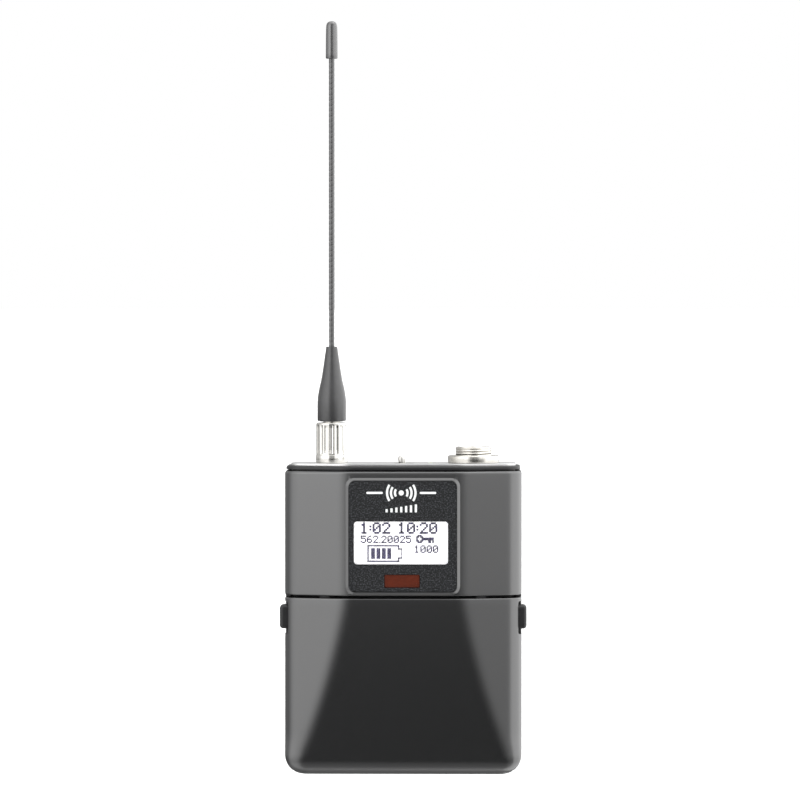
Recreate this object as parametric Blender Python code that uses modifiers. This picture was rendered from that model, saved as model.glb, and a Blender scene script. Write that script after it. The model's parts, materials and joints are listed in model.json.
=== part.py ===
"""Belt-worn wireless instrument transmitter, modelled as separate parts with real joints.

The driving dimensions below are in millimetres; meshes are made in metres.
X runs to the right, Y to the back and Z up. The case stands on its bottom face, and the
origin is on that face, under the middle of the case.
"""

import math

import bmesh
import bpy
from mathutils import Matrix, Vector

MM = 0.001
GAP = 0.3

# The case, and the form of its front: a middle facet between two wings that fall away.
CASE_WIDTH = 66.0
CASE_DEPTH = 23.0
WALL = 1.5
FACET_HALF_WIDTH = 16.0
WING_SLOPE = 0.31
FACET_BLEND = 16.0
SIDE_CORNER = 5.5
REAR_CORNER = 4.0
BOTTOM_CORNER = 5.6
BOTTOM_FRONT = 4.0
BOTTOM_REAR = 3.5
OUTER_STEPS = (3, 5, 3)
INNER_STEPS = (2, 3, 2)
COVER_TOP = 84.8
COVER_TOP_ROUND = 0.8
CAP_TOP = 85.75
CAP_INSET = 0.4
PLATE_TOP = 86.45
PLATE_INSET = 1.9

# The battery door: below the parting line its middle facet leans back in a shallow curve.
DOOR_TOP = 49.45
FRONT_COVER_BOTTOM = 50.15
LEAN_START = 49.8
LEAN_SLOPE = 0.0526
LEAN_CURVE = 0.00079
HINGE_Y = -3.1
HINGE_Z = 4.0
DOOR_HEEL = 4.12
COVER_HEEL = 4.45
DOOR_SIDE_EDGE = 2.0
COVER_SIDE_EDGE = 2.35
SIDE_EDGE_START = 12.0
KNUCKLE_RADIUS = 2.15
PIN_RADIUS = 0.7
PIN_ENDS = (20.0, 28.3)
KNUCKLE_ENDS = (19.6, 25.7)
EAR_ENDS = (26.1, 28.6)

# The display and its raised rim.
RIM_SIZE = (32.5, 32.8)
RIM_CENTRE_Z = 66.7
RIM_FRONT = -12.0
BEZEL_SIZE = (30.4, 31.0)
BEZEL_FRONT = -11.85
BEZEL_BACK = -10.9
DISPLAY_OPENING = (28.6, 29.6)
SCREEN = (26.1, 11.9, -0.5, 64.9)
EMITTER = (9.9, 3.7, -0.2, 54.3)

# What stands on the top end.
ANTENNA_X = -20.0
INPUT_X = 19.6
TOGGLE_X = 0.35
TOGGLE_PIVOT_Z = 82.8
TOGGLE_LEAN = math.radians(-10)
LED_X = 7.5
COLLAR_BOTTOM = 86.75
COLLAR_TOP = 98.0
COLLAR_RADIUS = 4.35
COLLAR_FLUTES = 18
BOOT_BOTTOM = 98.3
BOOT_TOP = 119.2
WHIP_RADIUS = 0.78
TIP_BOTTOM = 199.5
TIP_TOP = 209.9
TIP_RADIUS = 1.65

# Battery bay, keys and latches.
CELL_RADIUS = 7.1
CELL_BODY = 49.0
CELL_NUB = 1.2
CELL_Y = 1.2
CELL_HEIGHTS = {"lower": 15.3, "upper": 30.0}
TRAY_INNER = (27.6, 8.6, 7.85, 37.5)
TRAY_WALL = 1.0
KEY_HEIGHT = 43.6
KEY_SPACING = 9.0
KEY_RADIUS = 2.0
LATCH_HEIGHT = 44.0
LATCH_CAP = 6.6
LATCH_SLOT = (39.2, 48.4)
LATCH_Y = (-4.8, 1.6)
LATCH_OUT = 34.4
SPRING_SEAT_X = 25.0

# Case screws and the belt clip.
SCREW_X = 27.5
SCREW_HEIGHTS = (55.8, 79.2)
CLIP_PIVOT = (13.6, 70.0)
CLIP_WIRE = 1.0
CLIP_LEG_X = 20.0

# name: colour, roughness, metallic
FINISHES = {
    "case_paint": ((0.060, 0.062, 0.066), 0.5, 0.3),
    "door_paint": ((0.040, 0.041, 0.044), 0.45, 0.3),
    "black_plastic": ((0.022, 0.022, 0.024), 0.5, 0.0),
    "bezel_plastic": ((0.018, 0.018, 0.020), 0.45, 0.0),
    "clear_window": ((0.86, 0.87, 0.95), 0.08, 0.0),
    "red_window": ((0.115, 0.020, 0.010), 0.15, 0.0),
    "nickel": ((0.78, 0.76, 0.72), 0.22, 1.0),
    "top_metal": ((0.62, 0.62, 0.62), 0.38, 1.0),
    "steel": ((0.55, 0.56, 0.58), 0.3, 1.0),
    "brass": ((0.72, 0.53, 0.22), 0.3, 1.0),
    "rubber": ((0.030, 0.031, 0.033), 0.6, 0.0),
    "whip_coating": ((0.045, 0.046, 0.048), 0.4, 0.0),
    "board_green": ((0.02, 0.12, 0.05), 0.5, 0.0),
    "insulator": ((0.05, 0.05, 0.055), 0.5, 0.0),
    "foam": ((0.03, 0.03, 0.03), 0.95, 0.0),
    "cell_wrap": ((0.70, 0.45, 0.12), 0.3, 0.0),
    "led_lens": ((0.10, 0.55, 0.15), 0.2, 0.0),
}


# ---------------------------------------------------------------- scene and helpers

def clear_scene():
    for old in list(bpy.data.objects):
        bpy.data.objects.remove(old, do_unlink=True)


def new_collection(name):
    collection = bpy.data.collections.new(name)
    bpy.context.scene.collection.children.link(collection)
    return collection


def place(name, mesh, location, cutter=False):
    """Link a mesh as an object; cutters stay out of the render."""
    thing = bpy.data.objects.new(name, mesh)
    thing.location = Vector(location) * MM
    bpy.data.collections["cutters" if cutter else "wireless_transmitter"].objects.link(thing)
    if cutter:
        thing.hide_render = True
        thing.display_type = "WIRE"
    return thing


def finish(thing, key):
    """Give the object a material of its own, with the named finish."""
    colour, roughness, metallic = FINISHES[key]
    material = bpy.data.materials.new(f"{thing.name}_{key}")
    material.use_nodes = True
    shader = material.node_tree.nodes["Principled BSDF"]
    shader.inputs["Base Color"].default_value = (*colour, 1.0)
    shader.inputs["Roughness"].default_value = roughness
    shader.inputs["Metallic"].default_value = metallic
    thing.data.materials.append(material)
    return thing


def combine(thing, operation, other):
    step = thing.modifiers.new(operation.lower(), "BOOLEAN")
    step.solver = "EXACT"
    step.operation = operation
    step.object = other
    return thing


def box(name, low, high, cutter=False, bevel=0.0):
    low = Vector(low)
    high = Vector(high)
    mesh = bpy.data.meshes.new(name)
    bm = bmesh.new()
    bmesh.ops.create_cube(bm, size=1.0, matrix=Matrix.Diagonal((*((high - low) * MM), 1.0)))
    bm.to_mesh(mesh)
    bm.free()
    thing = place(name, mesh, (low + high) / 2, cutter)
    if bevel:
        edge = thing.modifiers.new("edges", "BEVEL")
        edge.width = bevel * MM
        edge.segments = 2
    return thing


def turned(name, profile, location=(0, 0, 0), facing="Z", sides=24, ring=False, cutter=False):
    """Turn a (radius, height) profile; it runs down the outer side. A ring has a bore."""
    mesh = bpy.data.meshes.new(name)
    points = [(radius * MM, 0, height * MM) for radius, height in profile]
    edges = [(index, index + 1) for index in range(len(points) - 1)]
    if ring:
        edges.append((len(points) - 1, 0))
    mesh.from_pydata(points, edges, [])
    thing = place(name, mesh, location, cutter)
    thing.rotation_euler = {"Z": (0, 0, 0), "-Y": (math.pi / 2, 0, 0), "X": (0, math.pi / 2, 0)}[facing]
    turn = thing.modifiers.new("turn", "SCREW")
    turn.steps = sides
    turn.render_steps = sides
    turn.use_merge_vertices = True
    turn.merge_threshold = 0.000001
    return thing


def cylinder(name, radius, ends, location, facing, sides=16, cutter=False):
    low, high = ends
    profile = [(0, high), (radius, high), (radius, low), (0, low)]
    return turned(name, profile, location, facing, sides, cutter=cutter)


def rounded(points, radii, steps):
    """An open path with an arc at each inner corner, in the plane or in space."""
    path = [Vector(points[0])]
    for before, corner, after, radius, count in zip(points, points[1:], points[2:], radii, steps):
        corner = Vector(corner)
        back = (Vector(before) - corner).normalized()
        onward = (Vector(after) - corner).normalized()
        half = back.angle(onward) / 2
        centre = corner + (back + onward).normalized() * radius / math.sin(half)
        start = corner + back * radius / math.tan(half)
        for step in range(count + 1):
            angle = (math.pi - 2 * half) * step / count
            path.append(centre + (start - centre) * math.cos(angle) - back * radius * math.sin(angle))
    path.append(Vector(points[-1]))
    return path


def rounded_rectangle(width, height, radius, centre=(0, 0), steps=4):
    outline = []
    for quarter in range(4):
        x_sign = (1, -1, -1, 1)[quarter]
        z_sign = (1, 1, -1, -1)[quarter]
        for step in range(steps + 1):
            angle = math.pi / 2 * (quarter + step / steps)
            x = centre[0] + x_sign * (width / 2 - radius) + radius * math.cos(angle)
            z = centre[1] + z_sign * (height / 2 - radius) + radius * math.sin(angle)
            outline.append((x, z))
    return outline


def arc(centre, radius, start, end, steps):
    """Points on a circle from one angle to another, in degrees."""
    points = []
    for step in range(steps + 1):
        angle = math.radians(start + (end - start) * step / steps)
        points.append((centre[0] + radius * math.cos(angle), centre[1] + radius * math.sin(angle)))
    return points


def curve_to_mesh(name, curve, rotation=(0, 0, 0), location=(0, 0, 0), cutter=False):
    carrier = place(name, curve, location, cutter)
    carrier.rotation_euler = rotation
    bpy.context.view_layer.update()
    evaluated = carrier.evaluated_get(bpy.context.evaluated_depsgraph_get())
    mesh = bpy.data.meshes.new_from_object(evaluated)
    bm = bmesh.new()
    bm.from_mesh(mesh)
    bmesh.ops.remove_doubles(bm, verts=bm.verts, dist=0.000001)
    bm.to_mesh(mesh)
    bm.free()
    mesh.materials.clear()
    bpy.data.objects.remove(carrier)
    bpy.data.curves.remove(curve)
    thing = place(name, mesh, location, cutter)
    thing.rotation_euler = rotation
    return thing


def flat(name, outline, ends, facing="Z", cutter=False, holes=()):
    """A flat outline given a thickness: in XY, in XZ (facing -Y) or in YZ (facing X)."""
    low, high = ends
    curve = bpy.data.curves.new(name, "CURVE")
    curve.dimensions = "2D"
    curve.fill_mode = "BOTH"
    curve.extrude = (high - low) / 2 * MM
    for loop in (outline, *holes):
        spline = curve.splines.new("POLY")
        spline.points.add(len(loop) - 1)
        for point, (across, up) in zip(spline.points, loop):
            point.co = (across * MM, up * MM, 0, 1)
        spline.use_cyclic_u = True
    middle = (low + high) / 2
    location = {"Z": (0, 0, middle), "-Y": (0, middle, 0), "X": (middle, 0, 0)}[facing]
    quarter = math.pi / 2
    rotation = {"Z": (0, 0, 0), "-Y": (quarter, 0, 0), "X": (quarter, 0, quarter)}[facing]
    return curve_to_mesh(name, curve, rotation, location, cutter)


def wire(name, path, radius, resolution=2):
    """A round wire with closed ends along a path of points."""
    curve = bpy.data.curves.new(name, "CURVE")
    curve.dimensions = "3D"
    curve.bevel_depth = radius * MM
    curve.bevel_resolution = resolution
    curve.use_fill_caps = True
    spline = curve.splines.new("POLY")
    spline.points.add(len(path) - 1)
    for point, place_at in zip(spline.points, path):
        point.co = (*(Vector(place_at) * MM), 1)
    return curve_to_mesh(name, curve)


def coil(turns, radius, length, centre, direction="X", steps=10):
    """Points of a helix whose axis is along X, centred on the given point."""
    path = []
    for step in range(turns * steps + 1):
        angle = 2 * math.pi * step / steps
        along = length * (step / (turns * steps) - 0.5)
        across = radius * math.cos(angle)
        up = radius * math.sin(angle)
        path.append((centre[0] + along, centre[1] + across, centre[2] + up))
    return path


def joint_empty(name, location):
    empty = bpy.data.objects.new(name, None)
    empty.location = Vector(location) * MM
    empty.empty_display_size = 0.005
    bpy.data.collections["wireless_transmitter"].objects.link(empty)
    return empty


def carry(empty, *things):
    """Parent the things to an empty on the joint's axis, and keep them where they are."""
    for thing in things:
        thing.parent = empty
        thing.location = thing.location - empty.location


# ---------------------------------------------------------------- the case form

def case_section(z, inset, steps):
    """The case's outline at one height, moved inwards by the inset."""
    half_width = CASE_WIDTH / 2 - inset
    drop = max(0.0, LEAN_START - z)
    lean = LEAN_SLOPE * drop + LEAN_CURVE * drop * drop
    facet_y = -CASE_DEPTH / 2 + lean + inset
    back_y = CASE_DEPTH / 2 - inset
    wing_angle = math.atan(WING_SLOPE)
    wing_start = -CASE_DEPTH / 2 + inset / math.cos(wing_angle)
    fold_x = FACET_HALF_WIDTH + (facet_y - wing_start) / WING_SLOPE
    side_y = wing_start + (half_width - FACET_HALF_WIDTH) * WING_SLOPE

    blend = FACET_BLEND - inset
    corner = SIDE_CORNER - inset
    needed = blend * math.tan(wing_angle / 2) + corner * math.tan((math.pi / 2 - wing_angle) / 2)
    wing_length = (half_width - fold_x) / math.cos(wing_angle)
    fit = min(1.0, 0.98 * wing_length / needed)
    corners = [(0, facet_y), (fold_x, facet_y), (half_width, side_y), (half_width, back_y), (0, back_y)]
    half = rounded(corners, (blend * fit, corner * fit, REAR_CORNER - inset), steps)

    height = z - inset
    narrowing = 1 - edge_round(height, BOTTOM_CORNER - inset) / half_width
    front = edge_round(height, BOTTOM_FRONT - inset)
    rear = edge_round(height, BOTTOM_REAR - inset)
    depth = back_y - facet_y
    outline = []
    for x, y in half:
        share = (y - facet_y) / depth
        outline.append((x * narrowing, y + front * (1 - share) - rear * share))
    return outline + [(-x, y) for x, y in reversed(outline[1:-1])]


def edge_round(height, radius):
    """How far a rounded bottom edge has drawn in, at a height above the bottom."""
    if height >= radius:
        return 0.0
    return radius - math.sqrt(radius ** 2 - (radius - height) ** 2)


def loft(name, rings, cutter=False):
    """A closed skin through outlines that have the same number of points."""
    bm = bmesh.new()
    rows = [[bm.verts.new(Vector(point) * MM) for point in ring] for ring in rings]
    count = len(rings[0])
    for lower, upper in zip(rows, rows[1:]):
        for index in range(count):
            after = (index + 1) % count
            bm.faces.new((lower[index], lower[after], upper[after], upper[index]))
    bm.faces.new(list(reversed(rows[0])))
    bm.faces.new(rows[-1])
    mesh = bpy.data.meshes.new(name)
    bm.to_mesh(mesh)
    bm.free()
    return place(name, mesh, (0, 0, 0), cutter)


def ring(z, inset, section_z=None, steps=OUTER_STEPS):
    height = z if section_z is None else section_z
    return [(x, y, z) for x, y in case_section(height, inset, steps)]


def bottom_levels(radius, floor, turn):
    """Heights up a quarter circle, closer together where it is flatter."""
    return [floor + radius * (1 - math.cos(math.radians(angle))) for angle in range(0, 91, turn)]


def lean_levels(count):
    """Heights up the leaning facet, ending where it stands upright."""
    start = BOTTOM_CORNER
    return [start + (LEAN_START - start) * (step + 1) / count for step in range(count)]


def outer_form(name, top, round_top, cutter=False):
    rings = [ring(z, 0) for z in (*bottom_levels(BOTTOM_CORNER, 0, 15), *lean_levels(6))]
    if round_top:
        for angle in (0, 45, 90):
            turn = math.radians(angle)
            height = top - COVER_TOP_ROUND * (1 - math.sin(turn))
            rings.append(ring(height, COVER_TOP_ROUND * (1 - math.cos(turn))))
    else:
        rings.append(ring(top, 0))
    return loft(name, rings, cutter)


def inner_form(name):
    levels = (*bottom_levels(BOTTOM_CORNER - WALL, WALL, 30), *lean_levels(4), COVER_TOP + 5)
    return loft(name, [ring(z, WALL, steps=INNER_STEPS) for z in levels], cutter=True)


def parting_prism(name, heel, side_edge, low, high, front):
    """The space in front of, or behind, the line where the covers part at the sides."""
    heel_x = math.sqrt(heel ** 2 - HINGE_Z ** 2)
    start = math.degrees(math.atan2(-HINGE_Z, heel_x))
    heel_line = arc((HINGE_Y, HINGE_Z), heel, start, 0, 8)
    line = [(HINGE_Y + heel_x, low), *heel_line, (side_edge, SIDE_EDGE_START), (side_edge, high)]
    far = -CASE_DEPTH if front else CASE_DEPTH
    outline = line + [(far, high), (far, low)]
    if not front:
        outline.reverse()
    return flat(name, outline, (-CASE_WIDTH, CASE_WIDTH), "X", cutter=True)


# ---------------------------------------------------------------- covers

def build_rear_cover(inner):
    cover = finish(outer_form("rear_cover", COVER_TOP, True), "case_paint")
    combine(cover, "DIFFERENCE", inner)
    behind = parting_prism("rear_side", COVER_HEEL, COVER_SIDE_EDGE, -5.0, 90.0, front=False)
    combine(cover, "INTERSECT", behind)
    for side in (-1, 1):
        word = "left" if side < 0 else "right"
        strike = box(f"strike_{word}", sorted_low(side * 30.75, 2.7, 42.5, side * 31.9, 4.0, 45.5),
                     sorted_high(side * 30.75, 2.7, 42.5, side * 31.9, 4.0, 45.5), cutter=True)
        combine(cover, "UNION", strike)
        combine(cover, "UNION", clip_lug(word, side))
        pivot_hole = cylinder(f"clip_hole_{word}", 1.35, (22.0, 30.0) if side > 0 else (-30.0, -22.0),
                              (0, *CLIP_PIVOT), "X", 16, cutter=True)
        combine(cover, "DIFFERENCE", pivot_hole)
    sleeve = [(1.3, -5.9), (3.2, -5.9), (3.2, -11.45), (2.45, -11.45), (2.45, -8.6), (1.3, -8.6)]
    for index, (x, z) in enumerate(screw_places(), start=1):
        hole = cylinder(f"screw_hole_{index}", 2.8, (-14.0, -9.0), (x, 0, z), "-Y", 14, cutter=True)
        combine(cover, "DIFFERENCE", hole)
        boss = turned(f"screw_sleeve_{index}", sleeve, (x, 0, z), "-Y", 16, ring=True, cutter=True)
        combine(cover, "UNION", boss)
    return cover


def sorted_low(x1, y1, z1, x2, y2, z2):
    return (min(x1, x2), min(y1, y2), min(z1, z2))


def sorted_high(x1, y1, z1, x2, y2, z2):
    return (max(x1, x2), max(y1, y2), max(z1, z2))


def clip_lug(word, side):
    """A rounded ear on the back of the case that holds one end of the belt clip."""
    y, z = CLIP_PIVOT
    outline = [(11.0, z - 2.5), *arc((y, z), 2.5, -90, 90, 8), (11.0, z + 2.5)]
    inner_x, outer_x = 24.3, 27.3
    ends = (inner_x, outer_x) if side > 0 else (-outer_x, -inner_x)
    return flat(f"clip_lug_{word}", outline, ends, "X", cutter=True)


def screw_places():
    return [(side * SCREW_X, z) for z in SCREW_HEIGHTS for side in (-1, 1)]


def build_front_cover(inner):
    cover = finish(outer_form("front_cover", COVER_TOP, True), "case_paint")
    combine(cover, "DIFFERENCE", inner)
    space = box("front_cover_space", (-40, -20, FRONT_COVER_BOTTOM), (40, DOOR_SIDE_EDGE, 90), cutter=True)
    combine(cover, "INTERSECT", space)
    rim = flat("display_rim", rounded_rectangle(*RIM_SIZE, 2.6, (0, RIM_CENTRE_Z)),
               (RIM_FRONT, -9.0), "-Y", cutter=True)
    bezel_w, bezel_h = BEZEL_SIZE
    recess = flat("bezel_recess", rounded_rectangle(bezel_w + 2 * GAP, bezel_h + 2 * GAP, 2.2,
                                                    (0, RIM_CENTRE_Z)),
                  (-14.0, BEZEL_BACK + GAP), "-Y", cutter=True)
    open_w, open_h = DISPLAY_OPENING
    opening = box("display_opening", (-open_w / 2, -14, RIM_CENTRE_Z - open_h / 2),
                  (open_w / 2, -8, RIM_CENTRE_Z + open_h / 2), cutter=True)
    combine(cover, "UNION", rim)
    combine(cover, "DIFFERENCE", recess)
    combine(cover, "DIFFERENCE", opening)
    for index, (x, z) in enumerate(screw_places(), start=1):
        post = cylinder(f"front_post_{index}", 2.4, (-5.5, 6.95), (x, 0, z), "-Y", 16, cutter=True)
        thread = cylinder(f"front_thread_{index}", 1.25, (-7.0, 4.0), (x, 0, z), "-Y", 12, cutter=True)
        combine(cover, "UNION", post)
        combine(cover, "DIFFERENCE", thread)
    for side in (-1, 1):
        middle = side * 21.8
        root = box(f"tongue_root_{side}", (middle - 1.3, -8.9, 50.6), (middle + 1.3, -6.6, 53.0), cutter=True)
        tongue = box(f"tongue_{side}", (middle - 1.3, -7.3, 48.4), (middle + 1.3, -6.6, 51.5), cutter=True)
        combine(cover, "UNION", root)
        combine(cover, "UNION", tongue)
    return cover


def build_screws():
    profile = [(0, 2.0), (0.95, 2.0), (0.95, -8.9), (2.1, -8.9), (2.1, -10.2), (1.8, -10.6), (0, -10.6)]
    first = None
    for index, (x, z) in enumerate(screw_places(), start=1):
        screw = turned(f"case_screw_{index}", profile, (x, 0, z), "-Y", 16)
        if first is None:
            first = finish(screw, "steel").data
        else:
            screw.data = first


# ---------------------------------------------------------------- top end

def build_top_end():
    upright = COVER_TOP
    rings = [ring(83.4, WALL + 0.35, upright), ring(85.1, WALL + 0.35, upright),
             ring(85.1, CAP_INSET, upright), ring(CAP_TOP - 0.2, CAP_INSET, upright),
             ring(CAP_TOP, CAP_INSET + 0.2, upright)]
    cap = finish(loft("top_cap", rings), "black_plastic")
    plate = finish(loft("top_plate", [ring(CAP_TOP + GAP, PLATE_INSET, upright),
                                      ring(PLATE_TOP, PLATE_INSET, upright)]), "top_metal")
    slot_ends = (80.0, 90.0)
    openings = [
        cylinder("antenna_hole", 3.95, slot_ends, (ANTENNA_X, 0, 0), "Z", 20, cutter=True),
        cylinder("input_hole", 5.45, slot_ends, (INPUT_X, 0, 0), "Z", 24, cutter=True),
        cylinder("led_hole", 1.35, slot_ends, (LED_X, 0, 0), "Z", 12, cutter=True),
        flat("toggle_slot", rounded_rectangle(5.5, 3.4, 1.2, (TOGGLE_X, 0)), slot_ends, cutter=True),
    ]
    for opening in openings:
        combine(cap, "DIFFERENCE", opening)
        combine(plate, "DIFFERENCE", opening)


def build_power_switch():
    finish(box("power_switch_body", (TOGGLE_X - 3.6, -3.4, 75.5), (TOGGLE_X + 3.6, 3.4, 81.0)),
           "insulator")
    pivot = joint_empty("toggle_pivot", (TOGGLE_X, 0, TOGGLE_PIVOT_Z))
    lever = [(0, 6.1), (0.7, 5.9), (1.0, 5.3), (0.85, 3.2), (0.75, 1.2),
             (1.25, 0.6), (1.4, 0.0), (1.0, -1.0), (0, -1.4)]
    toggle = finish(turned("power_toggle", lever, (TOGGLE_X, 0, TOGGLE_PIVOT_Z), "Z", 16), "nickel")
    toggle.rotation_euler = (0, TOGGLE_LEAN, 0)
    carry(pivot, toggle)


def build_status_led():
    lens = [(0, 86.9), (0.6, 86.75), (1.0, 86.3), (1.0, 83.0), (0, 83.0)]
    finish(turned("status_led", lens, (LED_X, 0, 0), "Z", 12), "led_lens")


# ---------------------------------------------------------------- display

def build_display():
    centre = (0, RIM_CENTRE_Z)
    screen_w, screen_h, screen_x, screen_z = SCREEN
    emitter_w, emitter_h, emitter_x, emitter_z = EMITTER
    screen = rounded_rectangle(screen_w, screen_h, 0.9, (screen_x, screen_z), 3)
    emitter = rounded_rectangle(emitter_w, emitter_h, 0.4, (emitter_x, emitter_z), 2)
    bezel = flat("display_bezel", rounded_rectangle(*BEZEL_SIZE, 1.9, centre),
                 (BEZEL_FRONT, BEZEL_BACK), "-Y", holes=(screen, emitter))
    finish(bezel, "bezel_plastic")
    stepped_window("display_window", SCREEN, 0.6, (27.2, 14.0), "clear_window")
    stepped_window("infrared_window", EMITTER, 0.3, (12.0, 4.2), "red_window")
    finish(box("lcd_module", (screen_x - 13.6, -9.4, screen_z - 7.5),
               (screen_x + 13.6, -7.3, screen_z + 7.5)), "insulator")


def stepped_window(name, opening, corner, flange, key):
    """A pane that stands in the bezel's opening, with a wider flange behind the bezel."""
    width, height, x, z = opening
    pane = flat(name, rounded_rectangle(width - 2 * GAP, height - 2 * GAP, corner, (x, z), 3),
                (-11.45, -10.2), "-Y")
    back = flat(f"{name}_flange", rounded_rectangle(*flange, 0.5, (x, z), 2),
                (BEZEL_BACK + GAP, -9.9), "-Y", cutter=True)
    return finish(combine(pane, "UNION", back), key)


# ---------------------------------------------------------------- antenna

def build_antenna():
    spot = (ANTENNA_X, 0, 0)
    socket = [(0, 85.0), (1.2, 85.0), (1.2, 92.3), (2.8, 92.3), (3.1, 92.0), (3.1, 86.5), (3.6, 86.3),
              (3.6, 82.2), (4.8, 82.2), (4.8, 80.5), (0, 80.5)]
    finish(turned("antenna_socket", socket, spot, "Z", 20), "nickel")

    lift = joint_empty("antenna_lift_axis", spot)
    ferrule = [(0, 102.7), (2.4, 102.7), (2.4, 94.3), (3.1, 94.3), (3.1, 92.8), (0.5, 92.8),
               (0.5, 87.5), (0, 87.5)]
    boot = [(1.1, 105.0), (1.1, BOOT_TOP), (1.6, BOOT_TOP), (2.45, 112.2), (3.4, 108.2), (3.85, 105.4),
            (4.0, 103.8), (4.0, 98.9), (3.2, 98.9), (3.2, BOOT_BOTTOM), (2.7, BOOT_BOTTOM),
            (2.7, 103.1), (0, 103.1)]
    boot = [(0, 105.0), *boot]
    tip = [(0, TIP_TOP), (0.9, TIP_TOP - 0.25), (1.45, TIP_TOP - 0.9), (TIP_RADIUS - 0.08, TIP_TOP - 1.9),
           (TIP_RADIUS, TIP_BOTTOM + 0.2), (TIP_RADIUS - 0.15, TIP_BOTTOM), (1.1, TIP_BOTTOM),
           (1.1, 204.4), (0, 204.4)]
    pieces = [
        finish(turned("antenna_ferrule", ferrule, spot, "Z", 20), "nickel"),
        finish(turned("antenna_boot", boot, spot, "Z", 24), "rubber"),
        finish(cylinder("antenna_whip", WHIP_RADIUS, (105.3, 204.0), spot, "Z", 12), "whip_coating"),
        finish(turned("antenna_tip", tip, spot, "Z", 16), "rubber"),
        build_collar(spot),
    ]
    carry(lift, *pieces)


def build_collar(spot):
    """The nut that screws the antenna down: a plain band below, coarse flutes above."""
    body = [(2.75, COLLAR_TOP), (COLLAR_RADIUS - 0.35, COLLAR_TOP), (COLLAR_RADIUS, COLLAR_TOP - 0.35),
            (COLLAR_RADIUS, 88.85), (4.45, 88.85), (4.45, 87.0), (4.2, COLLAR_BOTTOM),
            (3.5, COLLAR_BOTTOM), (3.5, 94.6), (2.75, 94.6)]
    collar = finish(turned("antenna_collar", body, spot, "Z", 36, ring=True), "nickel")
    mesh = bpy.data.meshes.new("flute_cutter")
    bm = bmesh.new()
    for index in range(COLLAR_FLUTES):
        turn = Matrix.Rotation(2 * math.pi * (index + 0.5) / COLLAR_FLUTES, 4, "Z")
        size = Matrix.Diagonal((0.8 * MM, 0.62 * MM, 8.0 * MM, 1.0))
        reach = Matrix.Translation(Vector((COLLAR_RADIUS + 0.08, 0, 93.4)) * MM)
        bmesh.ops.create_cube(bm, size=1.0, matrix=turn @ reach @ size)
    bm.to_mesh(mesh)
    bm.free()
    return combine(collar, "DIFFERENCE", place("flute_cutter", mesh, spot, cutter=True))


# ---------------------------------------------------------------- input connector

def build_input_connector():
    spot = (INPUT_X, 0, 0)
    thread = [(4.9, 91.3)]
    for turn in range(3):
        crest = 90.95 - 0.75 * turn
        thread += [(5.125, crest), (5.125, crest - 0.25), (4.9, crest - 0.38), (4.9, crest - 0.5)]
    shell = [(4.25, 91.3), *thread, (5.0, 88.5), (5.0, 76.0), (3.6, 76.0), (3.6, 77.0), (4.25, 77.0)]
    finish(turned("input_connector_shell", shell, spot, "Z", 24, ring=True), "nickel")
    nut = [(5.45, 88.9), (6.9, 88.9), (7.2, 88.6), (7.2, 87.0), (7.0, COLLAR_BOTTOM), (5.45, COLLAR_BOTTOM)]
    finish(turned("input_connector_nut", nut, spot, "Z", 32, ring=True), "nickel")
    insert = finish(cylinder("input_connector_insert", 3.95, (77.5, 81.5), spot, "Z", 24), "insulator")
    pin = [(0, 86.6), (0.25, 86.5), (0.45, 86.1), (0.45, 75.5), (0, 75.5)]
    shared = None
    for index in range(4):
        angle = math.pi / 4 + index * math.pi / 2
        place_at = (INPUT_X + 2.0 * math.cos(angle), 2.0 * math.sin(angle), 0)
        contact = turned(f"input_pin_{index + 1}", pin, place_at, "Z", 10)
        if shared is None:
            shared = finish(contact, "brass").data
        else:
            contact.data = shared
        hole = cylinder(f"pin_hole_{index + 1}", 0.75, (70, 90), place_at, "Z", 10, cutter=True)
        combine(insert, "DIFFERENCE", hole)


# ---------------------------------------------------------------- boards

def build_boards():
    finish(box("main_board", (-23.5, -6.9, 53.4), (23.5, -5.9, 80.0)), "board_green")
    finish(box("rf_shield", (-13.0, -5.6, 54.5), (13.0, -2.8, 74.0), bevel=0.4), "steel")


# ---------------------------------------------------------------- battery bay

def build_battery_tray():
    half_x, back_y, low_z, high_z = TRAY_INNER
    tray = box("battery_tray", (-half_x - TRAY_WALL, -4.4, low_z - 0.95),
               (half_x + TRAY_WALL, back_y + TRAY_WALL, high_z + 0.8))
    finish(tray, "black_plastic")
    bay = box("bay", (-half_x, -10, low_z), (half_x, back_y, high_z), cutter=True)
    combine(tray, "DIFFERENCE", bay)
    for word, ends in (("left", (-KNUCKLE_ENDS[1], -KNUCKLE_ENDS[0])), ("right", KNUCKLE_ENDS)):
        arm_outline = [*arc((HINGE_Y, HINGE_Z), KNUCKLE_RADIUS, -180, 0, 10),
                       (HINGE_Y + KNUCKLE_RADIUS, low_z - 0.4), (HINGE_Y - 1.2, low_z - 0.4),
                       (HINGE_Y - KNUCKLE_RADIUS, low_z - 1.4)]
        combine(tray, "UNION", flat(f"knuckle_{word}", arm_outline, ends, "X", cutter=True))
        bore_ends = (ends[0] - 1, ends[1] + 1)
        bore = cylinder(f"pin_bore_{word}", PIN_RADIUS + GAP, bore_ends, (0, HINGE_Y, HINGE_Z), "X", 12,
                        cutter=True)
        combine(tray, "DIFFERENCE", bore)
        pin_ends = PIN_ENDS if word == "right" else (-PIN_ENDS[1], -PIN_ENDS[0])
        pin = cylinder(f"hinge_pin_{word}", PIN_RADIUS, pin_ends, (0, HINGE_Y, HINGE_Z), "X", 12)
        finish(pin, "steel")


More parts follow.
